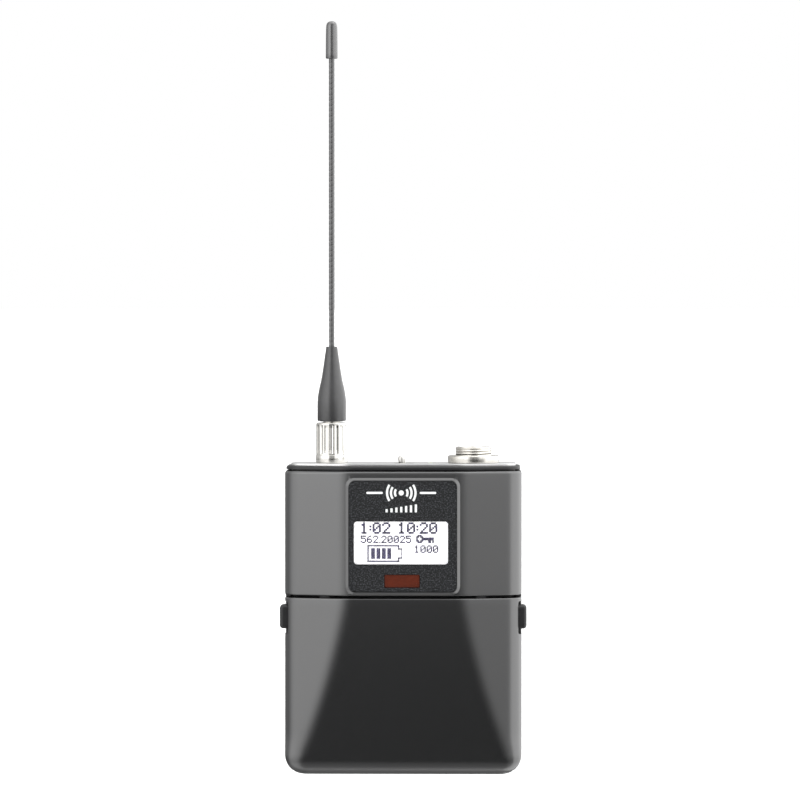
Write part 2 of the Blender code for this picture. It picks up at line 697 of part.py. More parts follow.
def build_cells():
    half = CELL_BODY / 2
    profile = [(0, half + CELL_NUB), (2.5, half + CELL_NUB), (2.5, half), (CELL_RADIUS - 0.5, half),
               (CELL_RADIUS, half - 0.5), (CELL_RADIUS, -half + 0.4), (CELL_RADIUS - 0.4, -half), (0, -half)]
    for word, height in CELL_HEIGHTS.items():
        cell = turned(f"battery_cell_{word}", profile, (0, CELL_Y, height), "X", 24)
        finish(cell, "cell_wrap")
        if word == "lower":
            cell.rotation_euler = (0, -math.pi / 2, 0)


def build_contacts():
    upper = CELL_HEIGHTS["upper"]
    lower = CELL_HEIGHTS["lower"]
    bridge = box("battery_contact_bridge", (-27.3, CELL_Y - 3.5, lower - 4.0),
                 (-26.9, CELL_Y + 3.5, upper + 4.0))
    finish(bridge, "nickel")
    for word, height in CELL_HEIGHTS.items():
        plate = box(f"battery_contact_{word}", (26.9, CELL_Y - 3.5, height - 4.0),
                    (27.3, CELL_Y + 3.5, height + 4.0))
        finish(plate, "nickel")
    spring_length = 0.9
    for word, height, side in (("upper", upper, -1), ("lower", lower, 1)):
        middle = side * 25.65
        path = coil(2, 3.0, spring_length, (middle, CELL_Y, height), steps=12)
        finish(wire(f"contact_spring_{word}", path, 0.25, 1), "nickel")


# ---------------------------------------------------------------- keys behind the door

def build_keys():
    panel = box("key_panel", (-19.4, -7.4, 38.7), (19.4, -6.3, 48.2))
    finish(panel, "black_plastic")
    finish(box("key_board", (-19.4, -4.5, 38.9), (19.4, -3.5, 48.0)), "board_green")
    key = [(0, 8.3), (KEY_RADIUS - 0.3, 8.3), (KEY_RADIUS, 8.0), (KEY_RADIUS, 6.0), (2.8, 6.0),
           (2.8, 5.4), (0, 5.4)]
    shared = None
    for index in range(4):
        x = (index - 1.5) * KEY_SPACING
        button = turned(f"menu_button_{index + 1}", key, (x, 0, KEY_HEIGHT), "-Y", 20)
        if shared is None:
            shared = finish(button, "rubber").data
        else:
            button.data = shared
        hole = cylinder(f"key_hole_{index + 1}", KEY_RADIUS + GAP, (0, 12), (x, 0, KEY_HEIGHT), "-Y", 20,
                        cutter=True)
        combine(panel, "DIFFERENCE", hole)


# ---------------------------------------------------------------- battery door

def build_door(inner):
    hinge = joint_empty("door_hinge_axis", (0, HINGE_Y, HINGE_Z))
    door = finish(outer_form("battery_door", LEAN_START + 2.0, False), "door_paint")
    combine(door, "DIFFERENCE", inner)
    space = parting_prism("door_side", DOOR_HEEL, DOOR_SIDE_EDGE, -5.0, DOOR_TOP, front=True)
    combine(door, "INTERSECT", space)
    heel_x = math.sqrt(DOOR_HEEL ** 2 - HINGE_Z ** 2)
    heel_room = box("heel_room", (-29.2, HINGE_Y + heel_x, -1.0), (29.2, 10.0, 3.9), cutter=True)
    combine(door, "DIFFERENCE", heel_room)
    low, high = LATCH_SLOT
    for side in (-1, 1):
        word = "left" if side < 0 else "right"
        outline = [*arc((HINGE_Y, HINGE_Z), 3.2, 135, 275, 10), *arc((HINGE_Y, HINGE_Z), 2.2, 275, 495, 10)]
        ends = EAR_ENDS if side > 0 else (-EAR_ENDS[1], -EAR_ENDS[0])
        combine(door, "UNION", flat(f"ear_{word}", outline, ends, "X", cutter=True))
        bore = cylinder(f"ear_bore_{word}", PIN_RADIUS + GAP, (ends[0] - 0.2, ends[1] + 0.2),
                        (0, HINGE_Y, HINGE_Z), "X", 12, cutter=True)
        combine(door, "DIFFERENCE", bore)
        seat = (side * SPRING_SEAT_X, -8.0, 40.5, side * (SPRING_SEAT_X - 1.0), 0.5, 47.5)
        combine(door, "UNION", box(f"spring_seat_{word}", sorted_low(*seat), sorted_high(*seat), cutter=True))
        notch = (side * 28.5, -5.2, low, side * 40.0, 5.0, high)
        combine(door, "DIFFERENCE", box(f"notch_{word}", sorted_low(*notch), sorted_high(*notch), cutter=True))

    pad = box("door_pad", (-18.0, -0.5, -4.0), (18.0, 0.5, 4.0))
    pad.location = Vector((0, -7.0, 22.7)) * MM
    pad.rotation_euler = (math.radians(5.4), 0, 0)
    finish(pad, "foam")
    carry(hinge, door, pad)
    return hinge


def build_latches(hinge):
    y_front, y_back = LATCH_Y
    for side in (-1, 1):
        word = "left" if side < 0 else "right"
        cap = (side * 29.6, y_front, LATCH_HEIGHT - LATCH_CAP / 2,
               side * LATCH_OUT, y_back, LATCH_HEIGHT + LATCH_CAP / 2)
        latch = box(f"latch_{word}", sorted_low(*cap), sorted_high(*cap))
        edges = latch.modifiers.new("edges", "BEVEL")
        edges.width = 0.7 * MM
        edges.segments = 2
        flange = (side * 29.3, -4.2, 38.8, side * 30.35, 1.5, 49.0)
        arm = (side * 29.3, 1.0, 42.2, side * 30.35, 5.4, 45.8)
        combine(latch, "UNION", box(f"latch_flange_{word}", sorted_low(*flange), sorted_high(*flange),
                                    cutter=True))
        combine(latch, "UNION", box(f"latch_arm_{word}", sorted_low(*arm), sorted_high(*arm), cutter=True))
        finish(latch, "black_plastic")
        middle = side * (SPRING_SEAT_X + 29.3) / 2
        path = coil(4, 1.5, 3.1, (middle, -1.6, LATCH_HEIGHT), steps=10)
        spring = finish(wire(f"latch_spring_{word}", path, 0.2, 1), "steel")
        carry(hinge, latch, spring)


# ---------------------------------------------------------------- belt clip

def build_belt_clip():
    """A sprung wire: its ends turn in the lugs and its lower bow rests near the case."""
    y, z = CLIP_PIVOT
    side = [(27.6, y, z), (CLIP_LEG_X, y, z), (CLIP_LEG_X, 17.0, z - 4.0), (CLIP_LEG_X, 17.0, 27.0),
            (CLIP_LEG_X, 13.1, 18.5), (CLIP_LEG_X, 14.4, 12.5)]
    corners = side + [(-x, leg_y, leg_z) for x, leg_y, leg_z in reversed(side)]
    radii = (1.6, 2.2, 6.0, 4.0, 3.5, 3.5, 4.0, 6.0, 2.2, 1.6)
    steps = (4, 3, 3, 3, 5, 5, 3, 3, 3, 4)
    path = rounded(corners, radii, steps)
    clip = finish(wire("belt_clip", path, CLIP_WIRE, 2), "steel")
    carry(joint_empty("clip_pivot", (0, y, z)), clip)


# ---------------------------------------------------------------- the object

def main():
    clear_scene()
    new_collection("wireless_transmitter")
    new_collection("cutters")
    inner = inner_form("case_inside")
    build_rear_cover(inner)
    build_front_cover(inner)
    build_screws()
    build_top_end()
    build_power_switch()
    build_status_led()
    build_display()
    build_antenna()
    build_input_connector()
    build_boards()
    build_battery_tray()
    build_cells()
    build_contacts()
    build_keys()
    hinge = build_door(inner)
    build_latches(hinge)
    build_belt_clip()


main()
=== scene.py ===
"""The looks of the belt-worn wireless transmitter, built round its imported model.

Lengths below are in millimetres, and meshes are made in metres. X runs to the right, Y to
the back and Z up; the display faces -Y. Places that the frame holds are read from it.
"""

import json
from math import atan, cos, hypot, pi, radians, sin, sqrt, tan

import bmesh
import bpy
from mathutils import Matrix, Vector

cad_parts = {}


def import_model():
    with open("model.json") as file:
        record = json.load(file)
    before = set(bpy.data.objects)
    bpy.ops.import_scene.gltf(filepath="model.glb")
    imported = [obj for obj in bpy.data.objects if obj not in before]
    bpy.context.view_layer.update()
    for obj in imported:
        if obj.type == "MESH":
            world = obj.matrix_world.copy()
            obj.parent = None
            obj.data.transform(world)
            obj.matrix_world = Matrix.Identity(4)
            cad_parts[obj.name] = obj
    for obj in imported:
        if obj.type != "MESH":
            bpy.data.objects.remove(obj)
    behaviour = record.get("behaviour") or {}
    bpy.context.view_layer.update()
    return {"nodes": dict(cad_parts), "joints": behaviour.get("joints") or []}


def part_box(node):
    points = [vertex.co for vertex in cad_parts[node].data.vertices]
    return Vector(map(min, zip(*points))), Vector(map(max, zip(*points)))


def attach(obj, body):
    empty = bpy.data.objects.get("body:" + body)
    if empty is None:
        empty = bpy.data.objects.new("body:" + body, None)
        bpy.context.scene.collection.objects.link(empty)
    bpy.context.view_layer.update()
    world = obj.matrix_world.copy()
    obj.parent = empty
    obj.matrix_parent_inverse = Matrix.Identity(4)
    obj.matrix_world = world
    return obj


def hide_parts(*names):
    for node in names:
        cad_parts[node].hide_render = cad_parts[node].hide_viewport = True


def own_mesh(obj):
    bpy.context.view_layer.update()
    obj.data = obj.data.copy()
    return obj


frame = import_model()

MM = 0.001


def corners(node):
    """A node's lowest and highest corner, in millimetres."""
    low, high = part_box(node)
    return low / MM, high / MM


def middle_of(node):
    low, high = corners(node)
    return (low + high) / 2


def side_ends(side, near, far):
    """The X ends of a piece on one side of the object (-1 or 1), lower one first."""
    return sorted((side * near, side * far))


COVER_LOW, COVER_HIGH = corners("front_cover")
DOOR_HIGH = corners("battery_door")[1]
CAP_BOTTOM = corners("top_cap")[0].z
BEZEL_LOW, BEZEL_HIGH = corners("display_bezel")
WINDOW_LOW, WINDOW_HIGH = corners("display_window")
EMITTER_LOW, EMITTER_HIGH = corners("infrared_window")
MODULE_LOW, MODULE_HIGH = corners("lcd_module")
COLLAR_LOW, COLLAR_HIGH = corners("antenna_collar")
BOOT_LOW, BOOT_HIGH = corners("antenna_boot")
TIP_LOW, TIP_HIGH = corners("antenna_tip")
NUT_LOW, NUT_HIGH = corners("input_connector_nut")
LED_LOW, LED_HIGH = corners("status_led")
SHELL_TOP = corners("input_connector_shell")[1].z
JOINTS = {joint["name"]: joint for joint in frame["joints"]}

# The case's form, as the CAD has it: a middle facet between two wings that fall away.
CASE_DEPTH = 23.0
HALF_WIDTH = DOOR_HIGH.x
WALL = 1.5
FACET_HALF_WIDTH = 16.0
WING_SLOPE = 0.31
FACET_BLEND = 16.0
SIDE_CORNER = 5.5
REAR_CORNER = 4.0
BOTTOM_CORNER = 5.6
BOTTOM_FRONT = 4.0
BOTTOM_REAR = 3.5
LEAN_START = 49.8
LEAN_SLOPE = 0.0526
LEAN_CURVE = 0.00079
COVER_TOP = COVER_HIGH.z
COVER_BOTTOM = 50.15
TOP_ROUND = 0.9
RIM_ROUND = 0.4
HINGE_Y = JOINTS["door_hinge"]["pos_m"][1] / MM
HINGE_Z = JOINTS["door_hinge"]["pos_m"][2] / MM
CLIP_Y = JOINTS["belt_clip_flex"]["pos_m"][1] / MM
CLIP_Z = JOINTS["belt_clip_flex"]["pos_m"][2] / MM
LUG_RADIUS = 2.5
DOOR_HEEL = 4.12
COVER_HEEL = 4.45
DOOR_SIDE_EDGE = 2.0
COVER_SIDE_EDGE = 2.35
SIDE_EDGE_START = 12.0
CAP_INSET = 0.4
PLATE_INSET = 1.7
PLATE_THICKNESS = 0.55

# The display: the rim round it and the opening that each window stands in.
DISPLAY = ((BEZEL_LOW.x + BEZEL_HIGH.x) / 2, (BEZEL_LOW.z + BEZEL_HIGH.z) / 2)
RIM_SIZE = (31.9, 32.8)
RIM_CORNER = 2.6
RIM_FRONT = COVER_LOW.y
BEZEL_CORNER = 1.9
BEZEL_GAP = 0.3
RECESS_INSET = 0.12
BEZEL_INSET = 0.2
SCREEN_OPENING = (26.1, 11.9)
SCREEN = ((WINDOW_LOW.x + WINDOW_HIGH.x) / 2, (WINDOW_LOW.z + WINDOW_HIGH.z) / 2)
EMITTER_OPENING = (9.9, 3.7)
EMITTER = ((EMITTER_LOW.x + EMITTER_HIGH.x) / 2, (EMITTER_LOW.z + EMITTER_HIGH.z) / 2)

ANTENNA_X = (COLLAR_LOW.x + COLLAR_HIGH.x) / 2
INPUT_X = (NUT_LOW.x + NUT_HIGH.x) / 2
INPUT_SPOT = (INPUT_X, 0, 0)
LED_X = (LED_LOW.x + LED_HIGH.x) / 2
LEVER_X = JOINTS["power_toggle_throw"]["pos_m"][0] / MM
LEVER_Z = JOINTS["power_toggle_throw"]["pos_m"][2] / MM
LEVER_LEAN = radians(-10)
SCREW_DEPTH = (8.9, 10.6)
LATCH_SLOT = (-5.2, 39.2, 48.4)


# ---- mesh helpers

def link(name, mesh):
    thing = bpy.data.objects.new(name, mesh)
    bpy.context.scene.collection.objects.link(thing)
    return thing


def mesh_object(name, points, faces):
    """An object from points in millimetres, with doubled points merged and normals outwards."""
    bm = bmesh.new()
    verts = [bm.verts.new(Vector(point) * MM) for point in points]
    for face in faces:
        bm.faces.new([verts[index] for index in face])
    bmesh.ops.remove_doubles(bm, verts=bm.verts, dist=0.0000005)
    bmesh.ops.recalc_face_normals(bm, faces=bm.faces)
    mesh = bpy.data.meshes.new(name)
    bm.to_mesh(mesh)
    bm.free()
    return link(name, mesh)


def apply_modifiers(thing):
    """Keep the shape that the modifiers give, and drop the modifiers."""
    bpy.context.view_layer.update()
    graph = bpy.context.evaluated_depsgraph_get()
    mesh = bpy.data.meshes.new_from_object(thing.evaluated_get(graph))
    thing.modifiers.clear()
    thing.data = mesh
    return thing


def smooth(thing, angle=35.0):
    """Shade smooth, with edges over the angle left sharp."""
    thing.data.shade_smooth()
    thing.data.set_sharp_from_angle(angle=radians(angle))
    return thing


def faceted(thing, angle=32.0):
    """Shade smooth, but keep the flat faces flat next to their rounded edges."""
    smooth(thing, angle)
    thing.modifiers.new("flat_faces", "WEIGHTED_NORMAL").keep_sharp = True
    return thing


def add_rounding(thing, width, segments, angle=40.0):
    """A modifier that rounds the edges sharper than the angle."""
    step = thing.modifiers.new("rounding", "BEVEL")
    step.width = width * MM
    step.segments = segments
    step.limit_method = "ANGLE"
    step.angle_limit = radians(angle)
    return thing


def rounded(thing, width, segments=3, angle=40.0):
    return apply_modifiers(add_rounding(thing, width, segments, angle))


def bevel(thing, width, segments=3, angle=40.0):
    """Round the sharp edges; faces keep flat shading next to them."""
    return faceted(rounded(thing, width, segments, angle), 35.0)


def clean(thing):
    """Merge points that fall together and dissolve faces without an area."""
    bm = bmesh.new()
    bm.from_mesh(thing.data)
    bmesh.ops.remove_doubles(bm, verts=bm.verts, dist=0.000001)
    bmesh.ops.dissolve_degenerate(bm, edges=bm.edges, dist=0.000001)
    bm.to_mesh(thing.data)
    bm.free()
    return thing


def combine(thing, operation, *tools):
    """Booleans with each tool in turn; the tools are used up."""
    for tool in tools:
        step = thing.modifiers.new("cut", "BOOLEAN")
        step.solver = "EXACT"
        step.operation = operation
        step.object = tool
        apply_modifiers(thing)
        clean(thing)
        bpy.data.objects.remove(tool)
    return thing


def loft(name, rows, capped=True):
    """Faces through rows of points; each row goes round, and the ends may be filled."""
    count = len(rows[0])
    points = [point for row in rows for point in row]
    faces = []
    for level in range(len(rows) - 1):
        for index in range(count):
            after = (index + 1) % count
            here = level * count
            faces.append((here + index, here + after, here + count + after, here + count + index))
    if capped:
        faces.append(tuple(range(count)))
        faces.append(tuple(len(points) - count + index for index in range(count)))
    return mesh_object(name, points, faces)


def slab(name, outline, ends, facing="Z"):
    """A flat outline given a thickness: in XY, in XZ (facing Y) or in YZ (facing X)."""
    order = {"Z": (0, 1, 2), "Y": (0, 2, 1), "X": (1, 2, 0)}[facing]
    rows = []
    for depth in ends:
        row = []
        for across, up in outline:
            point = [0, 0, 0]
            point[order[0]] = across
            point[order[1]] = up
            point[order[2]] = depth
            row.append(point)
        rows.append(row)
    return loft(name, rows)


def block(name, low, high):
    outline = [(low[0], low[1]), (high[0], low[1]), (high[0], high[1]), (low[0], high[1])]
    return slab(name, outline, (low[2], high[2]))


def arc(centre, radius, start, end, steps):
    """Points on a circle from one angle to another, in degrees."""
    points = []
    for step in range(steps + 1):
        angle = radians(start + (end - start) * step / steps)
        points.append((centre[0] + radius * cos(angle), centre[1] + radius * sin(angle)))
    return points


def rounded_rectangle(width, height, radius, centre=(0, 0), steps=8):
    outline = []
    for corner, (x_sign, y_sign) in enumerate(((1, 1), (-1, 1), (-1, -1), (1, -1))):
        middle = (centre[0] + x_sign * (width / 2 - radius), centre[1] + y_sign * (height / 2 - radius))
        outline += arc(middle, radius, 90 * corner, 90 * corner + 90, steps)
    return outline


def curve_through(points, steps=6):
    """A smooth line through the points (Catmull-Rom)."""
    spots = [Vector(point) for point in points]
    spots = [2 * spots[0] - spots[1], *spots, 2 * spots[-1] - spots[-2]]
    line = []
    for a, b, c, d in zip(spots, spots[1:], spots[2:], spots[3:]):
        for step in range(steps):
            t = step / steps
            line.append((2 * b + (c - a) * t + (2 * a - 5 * b + 4 * c - d) * t ** 2
                         + (3 * b - a - 3 * c + d) * t ** 3) / 2)
    line.append(spots[-2])
    return line


def turned(name, profile, centre, sides=64, ring=False, axis="Z", shape=None):
    """Turn (radius, height) points about an axis; shape(angle, radius, height) may change a radius."""
    rows = []
    for radius, height in profile:
        row = []
        for step in range(sides):
            angle = 2 * pi * step / sides
            reach = shape(angle, radius, height) if shape else radius
            across, up = reach * cos(angle), reach * sin(angle)
            local = {"Z": (across, up, height), "Y": (across, height, up), "X": (height, across, up)}[axis]
            row.append(tuple(c + p for c, p in zip(centre, local)))
        rows.append(row)
    if ring:
        rows.append(rows[0])
    return loft(name, rows, capped=False)


def drill(radius, centre, high, low, sides=24, axis="Z"):
    """A round tool for a hole, between two heights."""
    return turned("drill", [(0, high), (radius, high), (radius, low), (0, low)], centre, sides, axis=axis)


def wire(name, path, radius, sides=5):
    """A round wire along a path of points, with closed ends, as a mesh."""
    curve = bpy.data.curves.new(name, "CURVE")
    curve.dimensions = "3D"
    curve.bevel_depth = radius * MM
    curve.bevel_resolution = sides
    curve.use_fill_caps = True
    spline = curve.splines.new("POLY")
    spline.points.add(len(path) - 1)
    for point, spot in zip(spline.points, path):
        point.co = (*(Vector(spot) * MM), 1)
    carrier = link(name, curve)
    bpy.context.view_layer.update()
    mesh = bpy.data.meshes.new_from_object(carrier.evaluated_get(bpy.context.evaluated_depsgraph_get()))
    bpy.data.objects.remove(carrier)
    bm = bmesh.new()
    bm.from_mesh(mesh)
    bmesh.ops.remove_doubles(bm, verts=bm.verts, dist=0.0000005)
    bm.to_mesh(mesh)
    bm.free()
    mesh.materials.clear()
    return smooth(link(name, mesh))


def rounded_path(points, radii, steps):
    """An open path with an arc at each inner corner, in the plane or in space."""
    path = [Vector(points[0])]
    for before, corner, after, radius, count in zip(points, points[1:], points[2:], radii, steps):
        corner = Vector(corner)
        back = (Vector(before) - corner).normalized()
        onward = (Vector(after) - corner).normalized()
        half = back.angle(onward) / 2
        centre = corner + (back + onward).normalized() * radius / sin(half)
        start = corner + back * radius / tan(half)
        for step in range(count + 1):
            angle = (pi - 2 * half) * step / count
            path.append(centre + (start - centre) * cos(angle) - back * radius * sin(angle))
    path.append(Vector(points[-1]))
    return path


def show(thing, body, material, slot, *nodes):
    """Give a piece its material and body, and let it stand for CAD nodes; the slot argument is not used."""
    if material is not None:
        thing.data.materials.clear()
        thing.data.materials.append(material)
    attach(thing, body)
    if nodes:
        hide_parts(*nodes)
    return thing


# ---- the case's form

def edge_round(height, radius):
    """How far a rounded bottom edge has drawn in, at a height above the bottom."""
    if height >= radius:
        return 0.0
    return radius - sqrt(radius ** 2 - (radius - height) ** 2)


def half_section(z, inset):
    """The right half of the case's outline at one height, from mid front to mid back."""
    half_width = HALF_WIDTH - inset
    drop = max(0.0, LEAN_START - z)
    lean = LEAN_SLOPE * drop + LEAN_CURVE * drop * drop
    facet_y = -CASE_DEPTH / 2 + lean + inset
    back_y = CASE_DEPTH / 2 - inset
    wing_angle = atan(WING_SLOPE)
    wing_start = -CASE_DEPTH / 2 + inset / cos(wing_angle)
    fold_x = FACET_HALF_WIDTH + (facet_y - wing_start) / WING_SLOPE
    side_y = wing_start + (half_width - FACET_HALF_WIDTH) * WING_SLOPE
    blend = FACET_BLEND - inset
    corner = SIDE_CORNER - inset
    needed = blend * tan(wing_angle / 2) + corner * tan((pi / 2 - wing_angle) / 2)
    wing_length = (half_width - fold_x) / cos(wing_angle)
    fit = min(1.0, 0.98 * wing_length / needed)
    outline = [(0, facet_y), (fold_x, facet_y), (half_width, side_y), (half_width, back_y), (0, back_y)]
    half = rounded_path(outline, (blend * fit, corner * fit, REAR_CORNER - inset), (10, 16, 12))

    height = z - inset
    narrowing = 1 - edge_round(height, BOTTOM_CORNER - inset) / half_width
    front = edge_round(height, BOTTOM_FRONT - inset)
    rear = edge_round(height, BOTTOM_REAR - inset)
    shaped = []
    for x, y in half:
        share = (y - facet_y) / (back_y - facet_y)
        shaped.append(Vector((x * narrowing, y + front * (1 - share) - rear * share)))
    return shaped


def side_edge(z, heel, edge):
    """Where a cover's side ends, at a height: round the hinge below, upright above."""
    if z < HINGE_Z:
        return HINGE_Y + sqrt(heel ** 2 - (HINGE_Z - z) ** 2)
    if z < SIDE_EDGE_START:
        share = (z - HINGE_Z) / (SIDE_EDGE_START - HINGE_Z)
        return HINGE_Y + heel + (edge - HINGE_Y - heel) * share
    return edge


def cut_at(path, y, front):
    """The part of a half outline in front of, or behind, a line across it."""
    kept = []
    for here, after in zip(path, path[1:]):
        if (here.y <= y) == front:
            kept.append(here)
        if (here.y <= y) != (after.y <= y):
            share = (y - here.y) / (after.y - here.y)
            kept.append(here.lerp(after, share))
    if (path[-1].y <= y) == front:
        kept.append(path[-1])
    return kept


def spaced(path, count):
    """The same line as evenly spaced points."""
    lengths = [0.0]
    for here, after in zip(path, path[1:]):
        lengths.append(lengths[-1] + (after - here).length)
    points = []
    place = 0
    for step in range(count):
        target = lengths[-1] * step / (count - 1)
        while place < len(path) - 2 and lengths[place + 1] < target:
            place += 1
        span = lengths[place + 1] - lengths[place]
        share = (target - lengths[place]) / span if span else 0.0
        points.append(path[place].lerp(path[place + 1], min(max(share, 0.0), 1.0)))
    return points


COLUMNS = 72
ROLL = 4


def rolled_end(path, radius):
    """A line whose end turns inwards round a small radius, to the inner side."""
    tangent = (path[-1] - path[-2]).normalized()
    inward = Vector((-tangent.y, tangent.x))
    if inward.dot(Vector((0, 0)) - path[-1]) < 0:
        inward = -inward
    points = spaced(path, COLUMNS)
    points = [point for point in points[:-1] if (path[-1] - point).length > radius]
    start = path[-1] - tangent * radius
    points = spaced([*points, start], COLUMNS)
    centre = start + inward * radius
    for step in range(1, ROLL + 1):
        angle = pi / 2 * step / ROLL
        points.append(centre - inward * radius * cos(angle) + tangent * radius * sin(angle))
    return points


def cover_row(z, section_z, inset, edge, front, roll):
    """One level of a cover: a line from its left side edge to its right one."""
    half = cut_at(half_section(section_z, inset), edge, front)
    if not front:
        half.reverse()
    half = rolled_end(half, roll) if roll else spaced(half, COLUMNS + ROLL)
    line = [(-point.x, point.y, z) for point in reversed(half[1:])]
    return line + [(point.x, point.y, z) for point in half]


def shell(name, outer, inner, bottom_plate=False):
    """A wall between two sheets of rows, closed along its rims."""
    count = len(outer[0])
    levels = len(outer)
    points = [point for row in outer + inner for point in row]
    offset = count * levels
    faces = []
    for level in range(levels - 1):
        for index in range(count - 1):
            here = level * count + index
            there = offset + here
            faces.append((here, here + 1, here + count + 1, here + count))
            faces.append((there, there + count, there + count + 1, there + 1))
        for index in (0, count - 1):
            here = level * count + index
            faces.append((here, here + count, offset + here + count, offset + here))
    top = (levels - 1) * count
    for index in range(top, top + count - 1):
        faces.append((index, index + 1, offset + index + 1, offset + index))
    if bottom_plate:
        faces.append(tuple(range(count)))
        faces.append(tuple(range(offset, offset + count)))
        faces.append((0, count - 1, offset + count - 1, offset))
    else:
        for index in range(count - 1):
            faces.append((index, offset + index, offset + index + 1, index + 1))
    return mesh_object(name, points, faces)


def quarter(count):
    return [pi / 2 * step / count for step in range(count + 1)]


def top_levels():
    """(height, inset, inner height) over the covers' rounded top edge."""
    levels = []
    for angle in quarter(6):
        height = COVER_TOP - TOP_ROUND * (1 - sin(angle))
        share = angle / (pi / 2)
        levels.append((height, TOP_ROUND * (1 - cos(angle)), COVER_TOP - TOP_ROUND * (1 - share)))
    return levels


def bottom_levels():
    """(height, inset, inner height) up the rounded bottom edge of the case."""
    levels = []
    for angle in quarter(12):
        rise = 1 - cos(angle)
        levels.append((BOTTOM_CORNER * rise, 0.0, WALL + (BOTTOM_CORNER - WALL) * rise))
    return levels


def wall_level(height, inset=0.0):
    """A level where the inner wall is as high as the outer one."""
    return (height, inset, height)


def upright_levels(start, end, count):
    return [wall_level(start + (end - start) * step / count) for step in range(1, count)]


def cover_shell(name, levels, heel, edge, front, trailing_row=False, bottom_plate=False):
    outer = []
    inner = []
    for height, inset, inner_height in levels:
        roll = 0.3 * min(1.0, max(0.0, (height - 1.0) / 2.0))
        outer.append(cover_row(height, height, inset, side_edge(height, heel, edge), front, roll))
        inner.append(cover_row(inner_height, inner_height, WALL, side_edge(inner_height, heel, edge),
                               front, 0))
    if trailing_row:
        for rows, height in ((outer, 0.0), (inner, WALL)):
            back = side_edge(height, heel, edge)
            rows.insert(0, [(x, max(y, back), z) for x, y, z in rows[0]])
    return shell(name, outer, inner, bottom_plate)


# ---- materials

def nodes_of(name):
    """A new material, its node tree, its shader and the place on the object."""
    material = bpy.data.materials.new(name)
    material.use_nodes = True
    tree = material.node_tree
    place = tree.nodes.new("ShaderNodeTexCoord").outputs["Object"]
    return material, tree, tree.nodes["Principled BSDF"], place


def noise(tree, place, size, detail=2.0, stretch=(1, 1, 1)):
    """A noise whose features are about the given size in millimetres."""
    mapping = tree.nodes.new("ShaderNodeMapping")
    mapping.inputs["Scale"].default_value = stretch
    tree.links.new(place, mapping.inputs["Vector"])
    texture = tree.nodes.new("ShaderNodeTexNoise")
    texture.inputs["Scale"].default_value = 1.0 / (size * MM)
    texture.inputs["Detail"].default_value = detail
    tree.links.new(mapping.outputs["Vector"], texture.inputs["Vector"])
    return texture.outputs["Fac"]


def ramp(tree, value, start, end, low=0.0, high=1.0, kind="LINEAR"):
    """From one number to another, while the value goes from start to end."""
    node = tree.nodes.new("ShaderNodeMapRange")
    node.interpolation_type = kind
    for socket, number in (("From Min", start), ("From Max", end), ("To Min", low), ("To Max", high)):
        node.inputs[socket].default_value = number
    tree.links.new(value, node.inputs["Value"])
    return node.outputs["Result"]


def between(tree, noise_value, low, high):
    """Turn a noise into numbers between two ends."""
    return ramp(tree, noise_value, 0.25, 0.75, low, high)


def add_bumps(tree, shader, value, height):
    bump = tree.nodes.new("ShaderNodeBump")
    bump.inputs["Strength"].default_value = 1.0
    bump.inputs["Distance"].default_value = height * MM
    tree.links.new(value, bump.inputs["Height"])
    tree.links.new(bump.outputs["Normal"], shader.inputs["Normal"])


def mix_colours(tree, share, first, second):
    mix = tree.nodes.new("ShaderNodeMix")
    mix.data_type = "RGBA"
    for socket, colour in (("A", first), ("B", second)):
        place = [entry for entry in mix.inputs if entry.name == socket and entry.type == "RGBA"][0]
        if hasattr(colour, "is_linked"):
            tree.links.new(colour, place)
        else:
            place.default_value = (*colour, 1.0)
    tree.links.new(share, mix.inputs["Factor"])
    return [entry for entry in mix.outputs if entry.type == "RGBA"][0]


def finish(name, colour, roughness, metallic=0.0, mottle=0.12, mottle_size=3.0, grain=0.3, height=0.008,
           rough_spread=0.06, stretch=(1, 1, 1), detail=2.0, sockets=None):
    """A surface whose colour and gloss vary a little, over a fine grain that is felt as bumps."""
    material, tree, shader, place = nodes_of(name)
    coarse = noise(tree, place, mottle_size, 3.0, stretch)
    fine = noise(tree, place, grain, detail, stretch)
    dark = [channel * (1 - mottle) for channel in colour]
    light = [min(1.0, channel * (1 + mottle)) for channel in colour]
    tint = mix_colours(tree, between(tree, coarse, 0.0, 1.0), dark, light)
    tree.links.new(tint, shader.inputs["Base Color"])
    gloss = between(tree, fine, roughness - rough_spread, roughness + rough_spread)
    tree.links.new(gloss, shader.inputs["Roughness"])
    add_bumps(tree, shader, fine, height)
    shader.inputs["Metallic"].default_value = metallic
    for socket, value in (sockets or {}).items():
        shader.inputs[socket].default_value = value
    return material


def speckled(name, colour, fleck, roughness, size, share, height):
    """A moulded plastic with fine bright flecks in it."""
    material, tree, shader, place = nodes_of(name)
    grains = noise(tree, place, size, 1.0)
    lit = ramp(tree, grains, 0.88 - share, 1.12 - share, kind="SMOOTHSTEP")
    tree.links.new(mix_colours(tree, lit, colour, fleck), shader.inputs["Base Color"])
    add_bumps(tree, shader, grains, height)
    tree.links.new(between(tree, grains, roughness - 0.08, roughness + 0.08), shader.inputs["Roughness"])
    return material


def cell_wrap():
    """A plain cell sleeve: a copper-coloured band at the positive end and a dark body."""
    material, tree, shader, place = nodes_of("cell_sleeve")
    split = tree.nodes.new("ShaderNodeSeparateXYZ")
    tree.links.new(place, split.inputs["Vector"])
    band = ramp(tree, split.outputs["X"], 0.0118, 0.0122)
    tint = mix_colours(tree, band, (0.018, 0.019, 0.022), (0.62, 0.27, 0.10))
    worn = mix_colours(tree, between(tree, noise(tree, place, 2.0), 0.0, 0.12), tint, (0.30, 0.28, 0.26))
    tree.links.new(worn, shader.inputs["Base Color"])
    tree.links.new(between(tree, noise(tree, place, 0.8), 0.22, 0.34), shader.inputs["Roughness"])
    shader.inputs["Metallic"].default_value = 0.35
    return material


